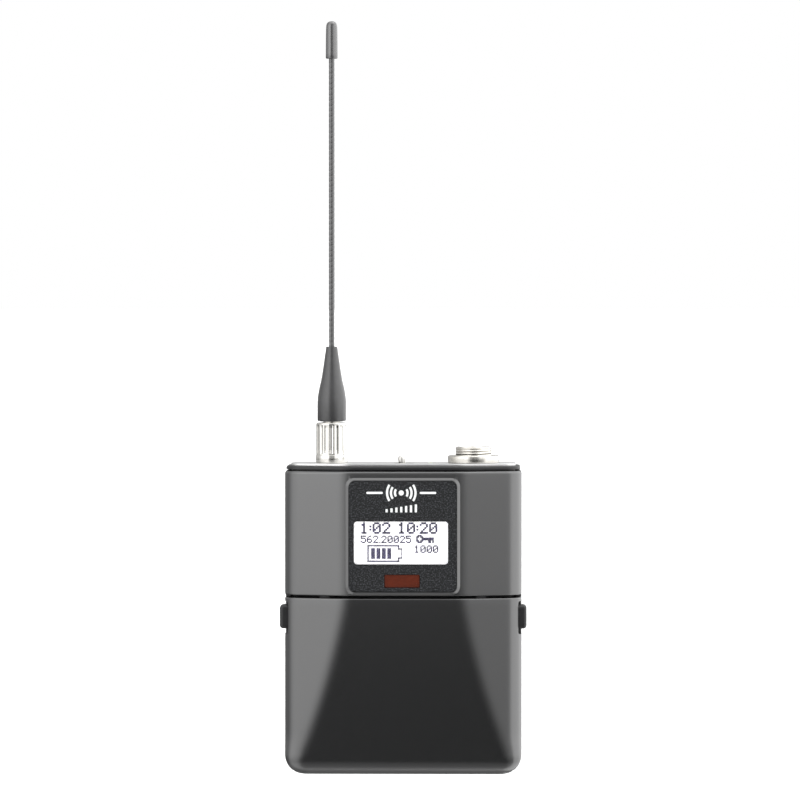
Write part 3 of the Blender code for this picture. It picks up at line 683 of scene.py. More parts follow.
def board_material():
    """Green solder mask over fine tracks, with a few bare pads."""
    material, tree, shader, place = nodes_of("circuit_board")
    brick = tree.nodes.new("ShaderNodeTexBrick")
    brick.inputs["Scale"].default_value = 1.0 / (3.0 * MM)
    brick.inputs["Mortar Size"].default_value = 0.03
    brick.inputs["Color1"].default_value = (0.010, 0.085, 0.035, 1)
    brick.inputs["Color2"].default_value = (0.014, 0.105, 0.045, 1)
    brick.inputs["Mortar"].default_value = (0.030, 0.170, 0.070, 1)
    tree.links.new(place, brick.inputs["Vector"])
    tree.links.new(brick.outputs["Color"], shader.inputs["Base Color"])
    tree.links.new(between(tree, noise(tree, place, 1.0), 0.3, 0.5), shader.inputs["Roughness"])
    return material


def glass(name, colour, roughness):
    material, tree, shader, place = nodes_of(name)
    gloss = between(tree, noise(tree, place, 4.0), roughness, roughness + 0.03)
    tree.links.new(gloss, shader.inputs["Roughness"])
    shader.inputs["Base Color"].default_value = (*colour, 1)
    shader.inputs["Transmission Weight"].default_value = 1.0
    shader.inputs["IOR"].default_value = 1.49
    return material


def backlit(name, colour, strength):
    """The lit face of the liquid-crystal display, a little uneven like a real backlight."""
    material, tree, shader, place = nodes_of(name)
    dim = [channel * 0.93 for channel in colour]
    tint = mix_colours(tree, between(tree, noise(tree, place, 9.0), 0.0, 1.0), dim, colour)
    tree.links.new(tint, shader.inputs["Emission Color"])
    tree.links.new(tint, shader.inputs["Base Color"])
    shader.inputs["Emission Strength"].default_value = strength
    shader.inputs["Roughness"].default_value = 0.4
    return material


PAINT = finish("grey_paint", (0.0042, 0.0046, 0.0054), 0.30, 0.0, 0.10, 0.8, 0.2, 0.0022, 0.02,
               detail=0.0, sockets={"IOR": 1.7, "Specular IOR Level": 1.0})
DOOR_PAINT = finish("door_paint", (0.0032, 0.0036, 0.0043), 0.30, 0.0, 0.14, 0.8, 0.22, 0.003, 0.02,
                    detail=0.0, sockets={"IOR": 1.7, "Specular IOR Level": 1.0})
BLACK_PLASTIC = finish("black_plastic", (0.008, 0.008, 0.009), 0.4, 0.0, 0.15, 1.5, 0.25, 0.006)
TRAY_PLASTIC = finish("tray_plastic", (0.022, 0.022, 0.024), 0.5, 0.0, 0.15, 2.0, 0.35, 0.01)
BEZEL_PLASTIC = speckled("bezel_plastic", (0.003, 0.0035, 0.004), (0.052, 0.055, 0.061), 0.38, 0.37,
                         0.42, 0.006)
RUBBER = finish("antenna_rubber", (0.024, 0.024, 0.025), 0.36, 0.0, 0.18, 1.2, 0.2, 0.005,
                sockets={"IOR": 1.75})
TIP_PLASTIC = finish("antenna_tip_plastic", (0.024, 0.024, 0.025), 0.24, 0.0, 0.18, 1.2, 0.2, 0.003,
                     sockets={"IOR": 2.2})
KEY_RUBBER = finish("key_rubber", (0.10, 0.10, 0.11), 0.6, 0.0, 0.12, 1.2, 0.2, 0.01)
WHIP_COATING = finish("whip_coating", (0.036, 0.036, 0.037), 0.3, 0.0, 0.15, 0.8, 0.15, 0.004,
                      sockets={"IOR": 1.95})
LEVER_NICKEL = finish("lever_nickel", (0.60, 0.59, 0.565), 0.36, 1.0, 0.05, 1.0, 0.15, 0.003, 0.05)
NICKEL = finish("bright_nickel", (0.69, 0.675, 0.64), 0.2, 1.0, 0.05, 2.0, 0.15, 0.0012, 0.04)
CONNECTOR_NICKEL = finish("satin_nickel", (0.63, 0.61, 0.57), 0.26, 1.0, 0.07, 1.2, 0.12, 0.0015, 0.06)
TOP_METAL = finish("brushed_plate", (0.66, 0.66, 0.66), 0.36, 1.0, 0.06, 1.2, 0.2, 0.002, 0.08,
                   stretch=(0.05, 1, 1))
STEEL = finish("spring_steel", (0.55, 0.56, 0.58), 0.27, 1.0, 0.08, 1.5, 0.2, 0.002, 0.07)
CLIP_STEEL = finish("clip_wire_steel", (0.58, 0.59, 0.60), 0.22, 1.0, 0.06, 2.5, 0.2, 0.0015, 0.06)
BLACK_STEEL = finish("blackened_steel", (0.05, 0.05, 0.055), 0.35, 0.9, 0.12, 0.8, 0.15, 0.002)
GOLD = finish("gold_contact", (0.83, 0.60, 0.28), 0.2, 1.0, 0.06, 0.8, 0.1, 0.001)
CONTACT_NICKEL = finish("contact_plate", (0.66, 0.65, 0.62), 0.25, 1.0, 0.08, 1.5, 0.2, 0.002)
INSULATOR = finish("insulator", (0.03, 0.03, 0.034), 0.42, 0.0, 0.15, 1.0, 0.2, 0.004)
FOAM = finish("door_foam", (0.030, 0.030, 0.031), 0.95, 0.0, 0.35, 0.5, 0.35, 0.12, 0.03, detail=4.0)
PRINT = finish("white_print", (0.74, 0.76, 0.76), 0.5, 0.0, 0.06, 0.6, 0.2, 0.002)
INK = finish("display_ink", (0.055, 0.042, 0.145), 0.5, 0.0, 0.08, 0.5, 0.3, 0.0005)
BACKLIGHT = backlit("display_backlight", (1.0, 0.99, 0.975), 0.75)
WINDOW = glass("display_lens", (0.97, 0.975, 0.99), 0.02)
RED_WINDOW = finish("infrared_lens", (0.085, 0.014, 0.005), 0.22, 0.0, 0.12, 1.5, 0.4, 0.001,
                    sockets={"IOR": 1.4})
LED_LENS = finish("indicator_lens", (0.50, 0.58, 0.51), 0.18, 0.0, 0.10, 0.6, 0.2, 0.001,
                  sockets={"Subsurface Weight": 0.3, "Subsurface Scale": 0.001})
CELL_WRAP = cell_wrap()
BOARD = board_material()


# ---- covers

def screw_places():
    """Each screw's number and its place on the middle plane."""
    middles = [middle_of(f"case_screw_{number}") for number in (1, 2, 3, 4)]
    return [(number + 1, (middle.x, 0, middle.z)) for number, middle in enumerate(middles)]


def rim_frame():
    """The raised frame round the display, with a sloping outer flank."""
    rows = []
    width, height = RIM_SIZE
    flank = [(2.8, 0.0), (0.9, 0.0), (0.72, 0.0), (0.64, 0.02), (0.57, 0.08), (0.52, 0.16), (0.1, 0.74),
             (0.06, 0.81), (0.02, 0.9), (0.0, 1.1)]
    for depth, inset in flank:
        outline = rounded_rectangle(width - 2 * inset, height - 2 * inset, RIM_CORNER - inset, DISPLAY)
        rows.append([(x, RIM_FRONT + depth, z) for x, z in outline])
    return loft("rim_frame", rows)


def bezel_outline(inset):
    width, height = BEZEL_HIGH.x - BEZEL_LOW.x, BEZEL_HIGH.z - BEZEL_LOW.z
    return rounded_rectangle(width - 2 * inset, height - 2 * inset, BEZEL_CORNER - inset, DISPLAY)


def front_cover():
    levels = [wall_level(COVER_BOTTOM + RIM_ROUND * (1 - cos(angle)), RIM_ROUND * (1 - sin(angle)))
              for angle in quarter(4)]
    levels += upright_levels(COVER_BOTTOM + RIM_ROUND, COVER_TOP - TOP_ROUND, 6)
    levels += top_levels()
    cover = cover_shell("front_cover_shell", levels, DOOR_HEEL, DOOR_SIDE_EDGE, True)
    combine(cover, "UNION", rim_frame())
    recess = slab("recess", bezel_outline(RECESS_INSET), (-14.0, -10.6), "Y")
    opening = slab("opening", rounded_rectangle(28.6, 29.6, 1.0, DISPLAY), (-14.0, -8.0), "Y")
    combine(cover, "DIFFERENCE", recess, opening)
    post = [(0, -6.95), (2.4, -6.95), (2.4, 5.35), (2.25, 5.5), (1.35, 5.5), (1.25, 5.4), (1.25, -4),
            (0, -4)]
    for _, centre in screw_places():
        combine(cover, "UNION", turned("screw_post", post, centre, 32, axis="Y"))
    for side in (-1, 1):
        middle = side * 21.8
        tongue = block("tongue", (middle - 1.3, -7.3, 48.4), (middle + 1.3, -6.6, 53.0))
        root = block("tongue_root", (middle - 1.3, -8.9, 50.6), (middle + 1.3, -6.7, 52.8))
        combine(cover, "UNION", tongue, root)
    show(faceted(cover), "chassis", PAINT, "case_paint", "front_cover")


def clip_lug(side):
    """A lug on the back that holds one end of the wire clip."""
    start, end = side_ends(side, 24.3, 27.3)
    rows = []
    for x, inset in ((start, 0.25), (start + 0.1, 0.07), (start + 0.25, 0), (end - 0.25, 0),
                     (end - 0.1, 0.07), (end, 0.25)):
        radius = LUG_RADIUS - inset
        outline = [(10.4, CLIP_Z - radius), *arc((CLIP_Y, CLIP_Z), radius, -90, 90, 16),
                   (10.4, CLIP_Z + radius)]
        rows.append([(x, y, z) for y, z in outline])
    return combine(loft("lug", rows), "DIFFERENCE", drill(1.35, (0, CLIP_Y, CLIP_Z), 30, -30, axis="X"))


def rear_cover():
    levels = bottom_levels()
    levels += upright_levels(BOTTOM_CORNER, SIDE_EDGE_START, 6)
    levels += upright_levels(SIDE_EDGE_START - 0.6, COVER_TOP - TOP_ROUND, 16)
    levels += top_levels()
    cover = cover_shell("rear_cover_shell", levels, COVER_HEEL, COVER_SIDE_EDGE, False, bottom_plate=True)
    sleeve = [(1.3, 5.9), (3.2, 5.9), (3.2, 11.38), (2.45, 11.38), (2.45, 8.6), (1.3, 8.6)]
    for _, centre in screw_places():
        combine(cover, "DIFFERENCE", drill(2.8, centre, 14, 9, 32, "Y"))
        combine(cover, "UNION", turned("sleeve", sleeve, centre, 32, ring=True, axis="Y"))
    for side in (-1, 1):
        start, end = side_ends(side, 30.75, 31.9)
        combine(cover, "UNION", clip_lug(side), block("strike", (start, 2.7, 42.5), (end, 4.0, 45.5)))
    show(faceted(cover), "chassis", PAINT, "case_paint", "rear_cover")


def hinge_ear(side):
    """An ear of the door, bored for its hinge pin."""
    hinge = (HINGE_Y, HINGE_Z)
    outline = [*arc(hinge, 3.2, 135, 275, 16), *arc(hinge, 2.2, 275, 495, 20)]
    ear = slab("ear", outline, side_ends(side, 26.1, 28.6), "X")
    return combine(ear, "DIFFERENCE", drill(1.0, (0, *hinge), 30, -30, axis="X"))


def battery_door():
    top = DOOR_HIGH.z
    levels = bottom_levels()
    levels += upright_levels(BOTTOM_CORNER, top - RIM_ROUND, 26)
    levels += [wall_level(top - RIM_ROUND * (1 - sin(angle)), RIM_ROUND * (1 - cos(angle)))
               for angle in quarter(4)]
    door = cover_shell("battery_door_shell", levels, DOOR_HEEL, DOOR_SIDE_EDGE, True, trailing_row=True)
    heel_y = side_edge(0.0, DOOR_HEEL, DOOR_SIDE_EDGE)
    combine(door, "DIFFERENCE", block("heel_room", (-29.2, heel_y + 0.03, -1.0), (29.2, 10.0, 3.9)))
    front, low, high = LATCH_SLOT
    for side in (-1, 1):
        notch = rounded_path([(5.0, high), (front, high), (front, low), (5.0, low)], (0.7, 0.7), (6, 6))
        combine(door, "DIFFERENCE", slab("notch", notch, side_ends(side, 28.5, 40.0), "X"))
        start, end = side_ends(side, 24.0, 25.0)
        seat = bevel(block("seat", (start, -8.0, 40.5), (end, 0.5, 47.5)), 0.25, 2)
        combine(door, "UNION", hinge_ear(side), seat)
    show(faceted(door), "battery_door", DOOR_PAINT, "door_paint", "battery_door")


def door_pad():
    """The foam strip on the door, slightly crowned, with rounded edges."""
    low, high = corners("door_pad")
    width = high.x - low.x
    lean = radians(5.4)
    middle = (low + high) / 2
    pad = block("door_pad_foam", (-width / 2 + 0.15, -0.45, -3.85), (width / 2 - 0.15, 0.45, 3.85))
    bm = bmesh.new()
    bm.from_mesh(pad.data)
    bmesh.ops.subdivide_edges(bm, edges=bm.edges[:], cuts=5, use_grid_fill=True)
    bm.to_mesh(pad.data)
    bm.free()
    bevel(pad, 0.3, 3)
    for vert in pad.data.vertices:
        if vert.co.y > 0:
            across = 1 - (vert.co.x / (width / 2 * MM)) ** 4
            up = 1 - (vert.co.z / (3.9 * MM)) ** 2
            vert.co.y += 0.12 * MM * max(0.0, across) * max(0.0, up)
    pad.data.transform(Matrix.Translation(middle * MM) @ Matrix.Rotation(lean, 4, "X"))
    show(pad, "battery_door", FOAM, "foam", "door_pad")


# ---- top end

def full_row(z, inset):
    half = half_section(COVER_TOP, inset)
    line = [(point.x, point.y, z) for point in half]
    return line + [(-x, y, z) for x, y, z in reversed(line[1:-1])]


def top_hole(radius, x, sides=48):
    return drill(radius, (x, 0, 0), 92, 80, sides)


def top_end():
    under, over = COLLAR_LOW.z - PLATE_THICKNESS, COLLAR_LOW.z - 0.03
    top = under - 0.04
    rows = [full_row(CAP_BOTTOM, WALL + 0.35), full_row(85.1, WALL + 0.35), full_row(85.1, CAP_INSET + 0.1),
            full_row(85.2, CAP_INSET)]
    rows += [full_row(top - 0.55 * (1 - sin(angle)), CAP_INSET + 0.8 * (1 - cos(angle)))
             for angle in quarter(5)]
    cap = loft("top_cap_band", rows)
    edge = 0.08
    rows = [full_row(under, PLATE_INSET), full_row(over - edge, PLATE_INSET),
            full_row(over, PLATE_INSET + edge)]
    plate = loft("top_metal_plate", rows)
    for thing in (cap, plate):
        slot = slab("slot", rounded_rectangle(5.5, 3.4, 1.2, (LEVER_X, 0)), (80, 92))
        combine(thing, "DIFFERENCE", top_hole(3.95, ANTENNA_X), top_hole(5.45, INPUT_X),
                top_hole(1.35, LED_X, 24), slot)
        faceted(thing)
    show(cap, "chassis", BLACK_PLASTIC, "black_plastic", "top_cap")
    show(plate, "chassis", TOP_METAL, "top_metal", "top_plate")


def power_toggle():
    lever = curve_through([(0, 6.1), (0.45, 6.02), (0.82, 5.75), (1.0, 5.25), (0.97, 4.4), (0.86, 3.2),
                           (0.76, 1.9), (0.78, 1.2), (1.05, 0.75), (1.3, 0.35), (1.4, -0.1),
                           (1.3, -0.6), (1.0, -1.0), (0.5, -1.3), (0, -1.4)], 4)
    toggle = smooth(turned("power_toggle_lever", [(abs(p.x), p.y) for p in lever], (0, 0, 0), 40), 60)
    toggle.data.transform(Matrix.Translation(Vector((LEVER_X, 0, LEVER_Z)) * MM)
                          @ Matrix.Rotation(LEVER_LEAN, 4, "Y"))
    show(toggle, "power_toggle", LEVER_NICKEL, "nickel", "power_toggle")


def status_led():
    dome = [(sin(angle), LED_HIGH.z - 0.6 * (1 - cos(angle))) for angle in quarter(10)]
    lens = turned("status_led_lens", [*dome, (1.0, LED_LOW.z), (0, LED_LOW.z)], (LED_X, 0, 0), 32)
    show(smooth(lens, 50), "chassis", LED_LENS, "led_lens", "status_led")


# ---- display

def display_bezel():
    bezel = slab("display_bezel_panel", bezel_outline(BEZEL_INSET), (BEZEL_LOW.y, BEZEL_HIGH.y), "Y")
    combine(bezel, "DIFFERENCE",
            slab("cut", rounded_rectangle(*SCREEN_OPENING, 0.9, SCREEN), (-13, -10), "Y"),
            slab("cut", rounded_rectangle(*EMITTER_OPENING, 0.35, EMITTER), (-13, -10), "Y"))
    bevel(bezel, 0.13, 3, 60)
    show(bezel, "chassis", BEZEL_PLASTIC, "bezel_plastic", "display_bezel")


def pane(name, opening, corner, centre, low, high, material, slot, node):
    """A window: a pane in the bezel's opening, with a wider flange behind the bezel."""
    piece = slab(name, rounded_rectangle(opening[0] - 0.2, opening[1] - 0.2, corner, centre),
                 (low.y, high.y - 0.1), "Y")
    flange = slab("flange", rounded_rectangle(high.x - low.x, high.z - low.z, 0.5, centre),
                  (BEZEL_HIGH.y + BEZEL_GAP, high.y), "Y")
    combine(piece, "UNION", flange)
    show(bevel(piece, 0.06, 2, 60), "chassis", material, slot, node)


def display_panes():
    pane("display_lens", SCREEN_OPENING, 0.7, SCREEN, WINDOW_LOW, WINDOW_HIGH, WINDOW, "clear_window",
         "display_window")
    pane("infrared_lens", EMITTER_OPENING, 0.3, EMITTER, EMITTER_LOW, EMITTER_HIGH, RED_WINDOW,
         "red_window", "infrared_window")


GLYPHS = {
    "0": "01110 10001 10011 10101 11001 10001 01110",
    "1": "00100 01100 00100 00100 00100 00100 01110",
    "2": "01110 10001 00001 00010 00100 01000 11111",
    "5": "11111 10000 11110 00001 00001 10001 01110",
    "6": "00110 01000 10000 11110 10001 10001 01110",
    ":": "0 0 1 0 1 0 0",
    ".": "0 0 0 0 0 0 1",
    " ": "000 000 000 000 000 000 000",
    "key": "0111000000000 1101100000000 1000111111111 1000111111111 1101100001101 0111000001101",
}


def glyph_dots(glyph, x, z, pitch, stretch=1.0):
    """Little squares for one glyph, from its upper left corner; also gives where the next one starts."""
    rows = GLYPHS[glyph].split()
    dots = []
    for down, row in enumerate(rows):
        for across, lit in enumerate(row):
            if lit == "1":
                left = x + across * pitch
                top = z - down * pitch * stretch
                bold = 0.13 * pitch
                dots.append((left - bold, top - pitch * stretch - bold, left + pitch + bold, top + bold))
    return dots, x + (len(rows[0]) + 1) * pitch


def text_dots(text, x, z, pitch, stretch=1.0):
    dots = []
    for letter in text:
        more, x = glyph_dots(letter, x, z, pitch, stretch)
        dots += more
    return dots


def battery_dots(x, z):
    """A battery outline with four bars, seen from its side."""
    line, width, height = 0.4, 8.9, 4.7
    end, low, tiny = x + width, z - height, 0.02
    dots = [(x, z - line, end, z), (x, low, end, low + line),
            (x + tiny, low + tiny, x + line, z - tiny), (end - line, z - 1.3, end - tiny, z - tiny),
            (end - line, low + tiny, end - tiny, low + 1.3),
            (end - line + tiny, z - 1.3 + tiny, end + 0.8, z - 1.3 + line),
            (end - line + tiny, low + 1.3 - line, end + 0.8, low + 1.3 - tiny),
            (end + 0.55, low + 1.2, end + 0.8 - tiny, z - 1.2)]
    for bar in range(4):
        left = x + 1.05 + bar * 1.5
        dots.append((left, z - height + 0.85, left + 1.08, z - 0.85))
    return dots


def boxes(name, outlines, front, back):
    """Many upright rectangles (low x, low z, high x, high z) as one object of flat boxes."""
    points = []
    faces = []
    for low_x, low_z, high_x, high_z in outlines:
        first = len(points)
        for y in (front, back):
            points += [(low_x, y, low_z), (high_x, y, low_z), (high_x, y, high_z), (low_x, y, high_z)]
        for face in ((0, 1, 2, 3), (4, 5, 6, 7), (0, 1, 5, 4), (1, 2, 6, 5), (2, 3, 7, 6), (3, 0, 4, 7)):
            faces.append(tuple(first + index for index in face))
    return mesh_object(name, points, faces)


def lcd_module():
    """The display behind its lens: a dark frame, the lit face and what it shows."""
    module = bevel(block("lcd_frame", MODULE_LOW, MODULE_HIGH), 0.3, 2)
    show(module, "chassis", INSULATOR, "insulator", "lcd_module")
    face_y = MODULE_LOW.y - 0.12
    half_w, half_h = SCREEN_OPENING[0] / 2 + 0.25, SCREEN_OPENING[1] / 2 + 0.25
    face = slab("lcd_lit_face", rounded_rectangle(2 * half_w, 2 * half_h, 0.3, SCREEN),
                (face_y, MODULE_LOW.y), "Y")
    show(bevel(face, 0.03, 1), "chassis", BACKLIGHT, "clear_window")
    left, top = SCREEN[0] - SCREEN_OPENING[0] / 2, SCREEN[1] + SCREEN_OPENING[1] / 2
    dots = text_dots("1:02", left + 1.7, top - 0.35, 0.44)
    dots += text_dots("10:20", left + 12.1, top - 0.35, 0.44)
    dots += text_dots("562.20025", left + 1.9, top - 4.0, 0.285)
    dots += glyph_dots("key", left + 17.3, top - 3.8, 0.37)[0]
    dots += battery_dots(left + 3.7, top - 6.6)
    dots += text_dots("1000", left + 16.7, top - 6.7, 0.29)
    digits = boxes("lcd_digits", dots, face_y - 0.035, face_y - 0.005)
    show(digits, "chassis", INK, "clear_window")


def bezel_print():
    """A generic radio-wave sign and a level scale, printed on the bezel."""
    front = BEZEL_LOW.y
    ends = (front - 0.02, front + 0.05)
    centre = (DISPLAY[0] - 0.4, BEZEL_HIGH.z - 3.4)
    parts = [slab("dot", arc(centre, 0.72, 0, 350, 30), ends, "Y")]
    for radius in (1.75, 2.85, 3.95):
        for facing in (0, 180):
            band = arc(centre, radius + 0.3, facing - 34, facing + 34, 16)
            band += list(reversed(arc(centre, radius - 0.3, facing - 34, facing + 34, 16)))
            parts.append(slab("wave", band, ends, "Y"))
    for side in (-1, 1):
        bar = rounded_rectangle(4.6, 0.6, 0.3, (centre[0] + side * 7.4, centre[1]))
        parts.append(slab("bar", bar, ends, "Y"))
    for step in range(7):
        tall = 0.9 + 0.22 * step
        low = centre[1] - 5.4
        outline = rounded_rectangle(0.62, tall, 0.1, (centre[0] + (step - 3) * 1.35, low + tall / 2))
        parts.append(slab("tick", outline, ends, "Y"))
    sign = parts[0]
    bm = bmesh.new()
    for part in parts:
        bm.from_mesh(part.data)
    bm.to_mesh(sign.data)
    bm.free()
    for part in parts[1:]:
        bpy.data.objects.remove(part)
    sign.name = "bezel_print"
    show(smooth(sign, 30), "chassis", PRINT, "bezel_plastic")


# ---- antenna

FLUTES = 18


def collar_shape(angle, radius, height):
    """Coarse round-bottomed flutes between the plain band and the top chamfer."""
    if radius < 4.2 or not 89.2 < height < 97.5:
        return radius
    phase = ((angle + pi / 2) * FLUTES / (2 * pi) + 0.5) % 1.0
    across = abs(phase - 0.5) * 2
    groove = max(0.0, 1 - (across / 0.7) ** 2)
    ends = min(1.0, (height - 89.2) / 0.35, (97.5 - height) / 0.35)
    return radius - 0.17 * groove * max(0.0, ends)


def antenna_piece(name, profile, sides, angle, body, material, slot, **more):
    """Turn an antenna piece's profile; the name starts with its CAD node's two words."""
    piece = smooth(turned(name, profile, (ANTENNA_X, 0, 0), sides, **more), angle)
    show(piece, body, material, slot, "_".join(name.split("_")[:2]))


def antenna_collar():
    radius, band = 4.35, 4.45
    top, bottom = COLLAR_HIGH.z, COLLAR_LOW.z
    profile = [(2.75, 94.6), (2.75, top - 0.1), (2.85, top), (radius - 0.4, top), (radius - 0.2, top - 0.06),
               (radius - 0.06, top - 0.2), (radius, top - 0.4)]
    profile += [(radius, 97.5 - 0.07 * step) for step in range(6)]
    profile += [(radius, 96.5 - step) for step in range(7)]
    profile += [(radius, 89.2 + 0.07 * step) for step in range(5, -1, -1)]
    profile += [(radius, 88.95), (band - 0.03, 88.9), (band, 88.8), (band, bottom + 0.35),
                (band - 0.08, bottom + 0.15), (band - 0.25, bottom), (3.5, bottom), (3.5, 94.6)]
    antenna_piece("antenna_collar_nut", profile, FLUTES * 16, 38, "antenna_collar", NICKEL, "nickel",
                  ring=True, shape=collar_shape)


def antenna_boot():
    low = BOOT_LOW.z
    outer = curve_through([(1.6, BOOT_HIGH.z - 0.2), (1.78, 117.6), (2.12, 115.2), (2.57, 112.2),
                           (2.95, 109.9), (3.4, 108.0), (3.72, 106.3), (3.9, 105.0), (4.0, 103.8)], 6)
    boot = [(0, 105.0), (1.1, 105.0), (1.1, BOOT_HIGH.z - 0.1), (1.2, BOOT_HIGH.z), (1.5, BOOT_HIGH.z),
            *[(p.x, p.y) for p in outer], (4.0, 98.75), (3.93, 98.53), (3.75, 98.45), (3.2, 98.45),
            (3.2, low), (2.7, low), (2.7, 103.1), (0, 103.1)]
    antenna_piece("antenna_boot_sleeve", boot, 64, 32, "antenna", RUBBER, "rubber")


def antenna_whip():
    """A rod with the fine spiral groove of a wound whip."""
    pitch = 1.5
    whip_low, whip_high = corners("antenna_whip")
    rod_radius = (whip_high.x - whip_low.x) / 2

    def wound(angle, radius, height):
        if radius == 0:
            return 0
        turn = (height / pitch - angle / (2 * pi)) % 1.0
        return radius - 0.055 * max(0.0, 1 - abs(turn - 0.5) / 0.22)

    steps = 760
    rise = (whip_high.z - whip_low.z) / steps
    rod = [(0, whip_low.z), *[(rod_radius, whip_low.z + rise * step) for step in range(steps + 1)],
           (0, whip_high.z)]
    antenna_piece("antenna_whip_rod", rod, 20, 50, "antenna", WHIP_COATING, "whip_coating", shape=wound)


def antenna_tip():
    tip_radius = (TIP_HIGH.x - TIP_LOW.x) / 2
    dome = curve_through([(0, TIP_HIGH.z), (0.6, TIP_HIGH.z - 0.08), (1.1, TIP_HIGH.z - 0.35),
                          (1.42, TIP_HIGH.z - 0.85), (tip_radius - 0.1, TIP_HIGH.z - 1.7),
                          (tip_radius - 0.04, TIP_HIGH.z - 4), (tip_radius, TIP_LOW.z + 0.35)], 5)
    tip = [*[(abs(p.x), p.y) for p in dome], (tip_radius - 0.05, TIP_LOW.z + 0.12),
           (tip_radius - 0.2, TIP_LOW.z), (1.1, TIP_LOW.z), (1.1, 204.4), (0, 204.4)]
    antenna_piece("antenna_tip_cap", tip, 48, 40, "antenna", TIP_PLASTIC, "rubber")


def antenna_fittings():
    """The ferrule inside the boot and the threaded socket that the collar screws on."""
    ferrule = [(0, 102.7), (2.3, 102.7), (2.4, 102.6), (2.4, 94.3), (3.0, 94.3), (3.1, 94.2), (3.1, 92.8),
               (0.5, 92.8), (0.5, 87.8), (0.2, 87.5), (0, 87.5)]
    antenna_piece("antenna_ferrule_turned", ferrule, 48, 35, "antenna", CONNECTOR_NICKEL, "nickel")
    socket_profile = [(0, 85.0), (1.2, 85.0), (1.2, 92.2), (1.3, 92.3), (2.75, 92.3), (2.9, 92.1)]
    socket_profile += [(2.98, 92.1 - 0.05 * step) for step in range(108)]
    socket_profile += [(3.1, 86.5), (3.6, 86.3), (3.6, 82.2), (4.8, 82.2), (4.8, 80.5), (0, 80.5)]
    socket_thread = thread(2.98, 92.1, 86.7, 0.706, 0.1)
    antenna_piece("antenna_socket_post", socket_profile, 48, 50, "chassis", GOLD, "nickel",
                  shape=socket_thread)


def thread(crest_base, top, bottom, pitch, depth):
    """A radius that follows a helical thread between two heights, for points on its own radius."""
    def shaped(angle, radius, height):
        if abs(radius - crest_base) > 0.001 or not bottom <= height <= top:
            return radius
        turn = (height / pitch - angle / (2 * pi)) % 1.0
        fade = max(0.0, min(1.0, (top - height) / 0.3, (height - bottom) / 0.3))
        return radius + depth * fade * max(0.0, 1 - abs(turn - 0.5) / 0.4)
    return shaped


# ---- input connector

def input_barrel():
    top = SHELL_TOP
    bore = 4.25
    profile = [(bore, 77.0), (bore, top - 0.15), (bore + 0.15, top), (4.75, top), (4.9, top - 0.12)]
    profile += [(4.9, top - 0.12 - 0.05 * step) for step in range(1, 54)]
    profile += [(5.0, 88.45), (5.0, 76.0), (3.6, 76.0), (3.6, 77.0)]
    shell_thread = thread(4.9, top - 0.12, 88.5, 0.75, 0.225)
    barrel = turned("input_connector_barrel", profile, INPUT_SPOT, 96, ring=True, shape=shell_thread)
    show(smooth(barrel, 50), "chassis", CONNECTOR_NICKEL, "nickel", "input_connector_shell")


def input_nut():
    outer = (NUT_HIGH.x - NUT_LOW.x) / 2
    low, high = NUT_LOW.z, NUT_HIGH.z
    nut = [(5.45, low), (5.45, high - 0.1), (5.55, high), (outer - 0.45, high)]
    nut += [(outer - 0.45 + 0.45 * sin(a), high - 0.45 * (1 - cos(a))) for a in quarter(5)[1:]]
    nut += [(outer, low + 0.3), (outer - 0.09, low + 0.09), (outer - 0.3, low)]
    ring = smooth(turned("input_connector_ring", nut, INPUT_SPOT, 96, ring=True), 38)
    show(ring, "chassis", CONNECTOR_NICKEL, "nickel", "input_connector_nut")


def input_contacts():
    """The insulating disc and the four pins in it."""
    low, high = corners("input_connector_insert")
    disc = [(0, high.z), (3.85, high.z), (3.95, high.z - 0.1), (3.95, low.z), (0, low.z)]
    insert = turned("input_connector_disc", disc, INPUT_SPOT, 48)
    pin_profile = [(0, 86.6), (0.16, 86.56), (0.32, 86.4), (0.42, 86.1), (0.45, 85.8), (0.45, 75.5),
                   (0, 75.5)]
    for number in (1, 2, 3, 4):
        middle = middle_of(f"input_pin_{number}")
        at = (middle.x, middle.y, 0)
        pin = smooth(turned(f"input_contact_{number}", pin_profile, at, 24), 50)
        show(pin, "chassis", GOLD, "brass", f"input_pin_{number}")
        combine(insert, "DIFFERENCE", drill(0.75, at, 90, 70))
    show(smooth(insert), "chassis", INSULATOR, "insulator", "input_connector_insert")


# ---- latches, clip and screws

def latches():
    for side, word in ((-1, "left"), (1, "right")):
        start, end = side_ends(side, 29.6, corners("latch_right")[1].x)
        cap = rounded(block(f"latch_{word}_cap", (start, -4.8, 40.7), (end, 1.6, 47.3)), 0.95, 5)
        start, end = side_ends(side, 29.3, 30.35)
        flange = rounded(block("flange", (start, -4.2, 38.8), (end, 1.5, 49.0)), 0.2, 2)
        arm = rounded(block("arm", (start, 1.0, 42.2), (end, 5.4, 45.8)), 0.2, 2)
        combine(cap, "UNION", flange, arm)
        show(faceted(cap, 30), f"latch_{word}", BLACK_PLASTIC, "black_plastic", f"latch_{word}")
        spring_low, spring_high = corners(f"latch_spring_{word}")
        centre = (spring_low + spring_high) / 2
        length = spring_high.x - spring_low.x - 0.4
        path = []
        for step in range(4 * 24 + 1):
            angle = 2 * pi * step / 24
            path.append((centre.x + length * (step / 96 - 0.5), centre.y + 1.5 * cos(angle),
                         centre.z + 1.5 * sin(angle)))
        spring = wire(f"latch_{word}_coil", path, 0.2, 3)
        show(spring, "battery_door", STEEL, "steel", f"latch_spring_{word}")
        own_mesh(spring)


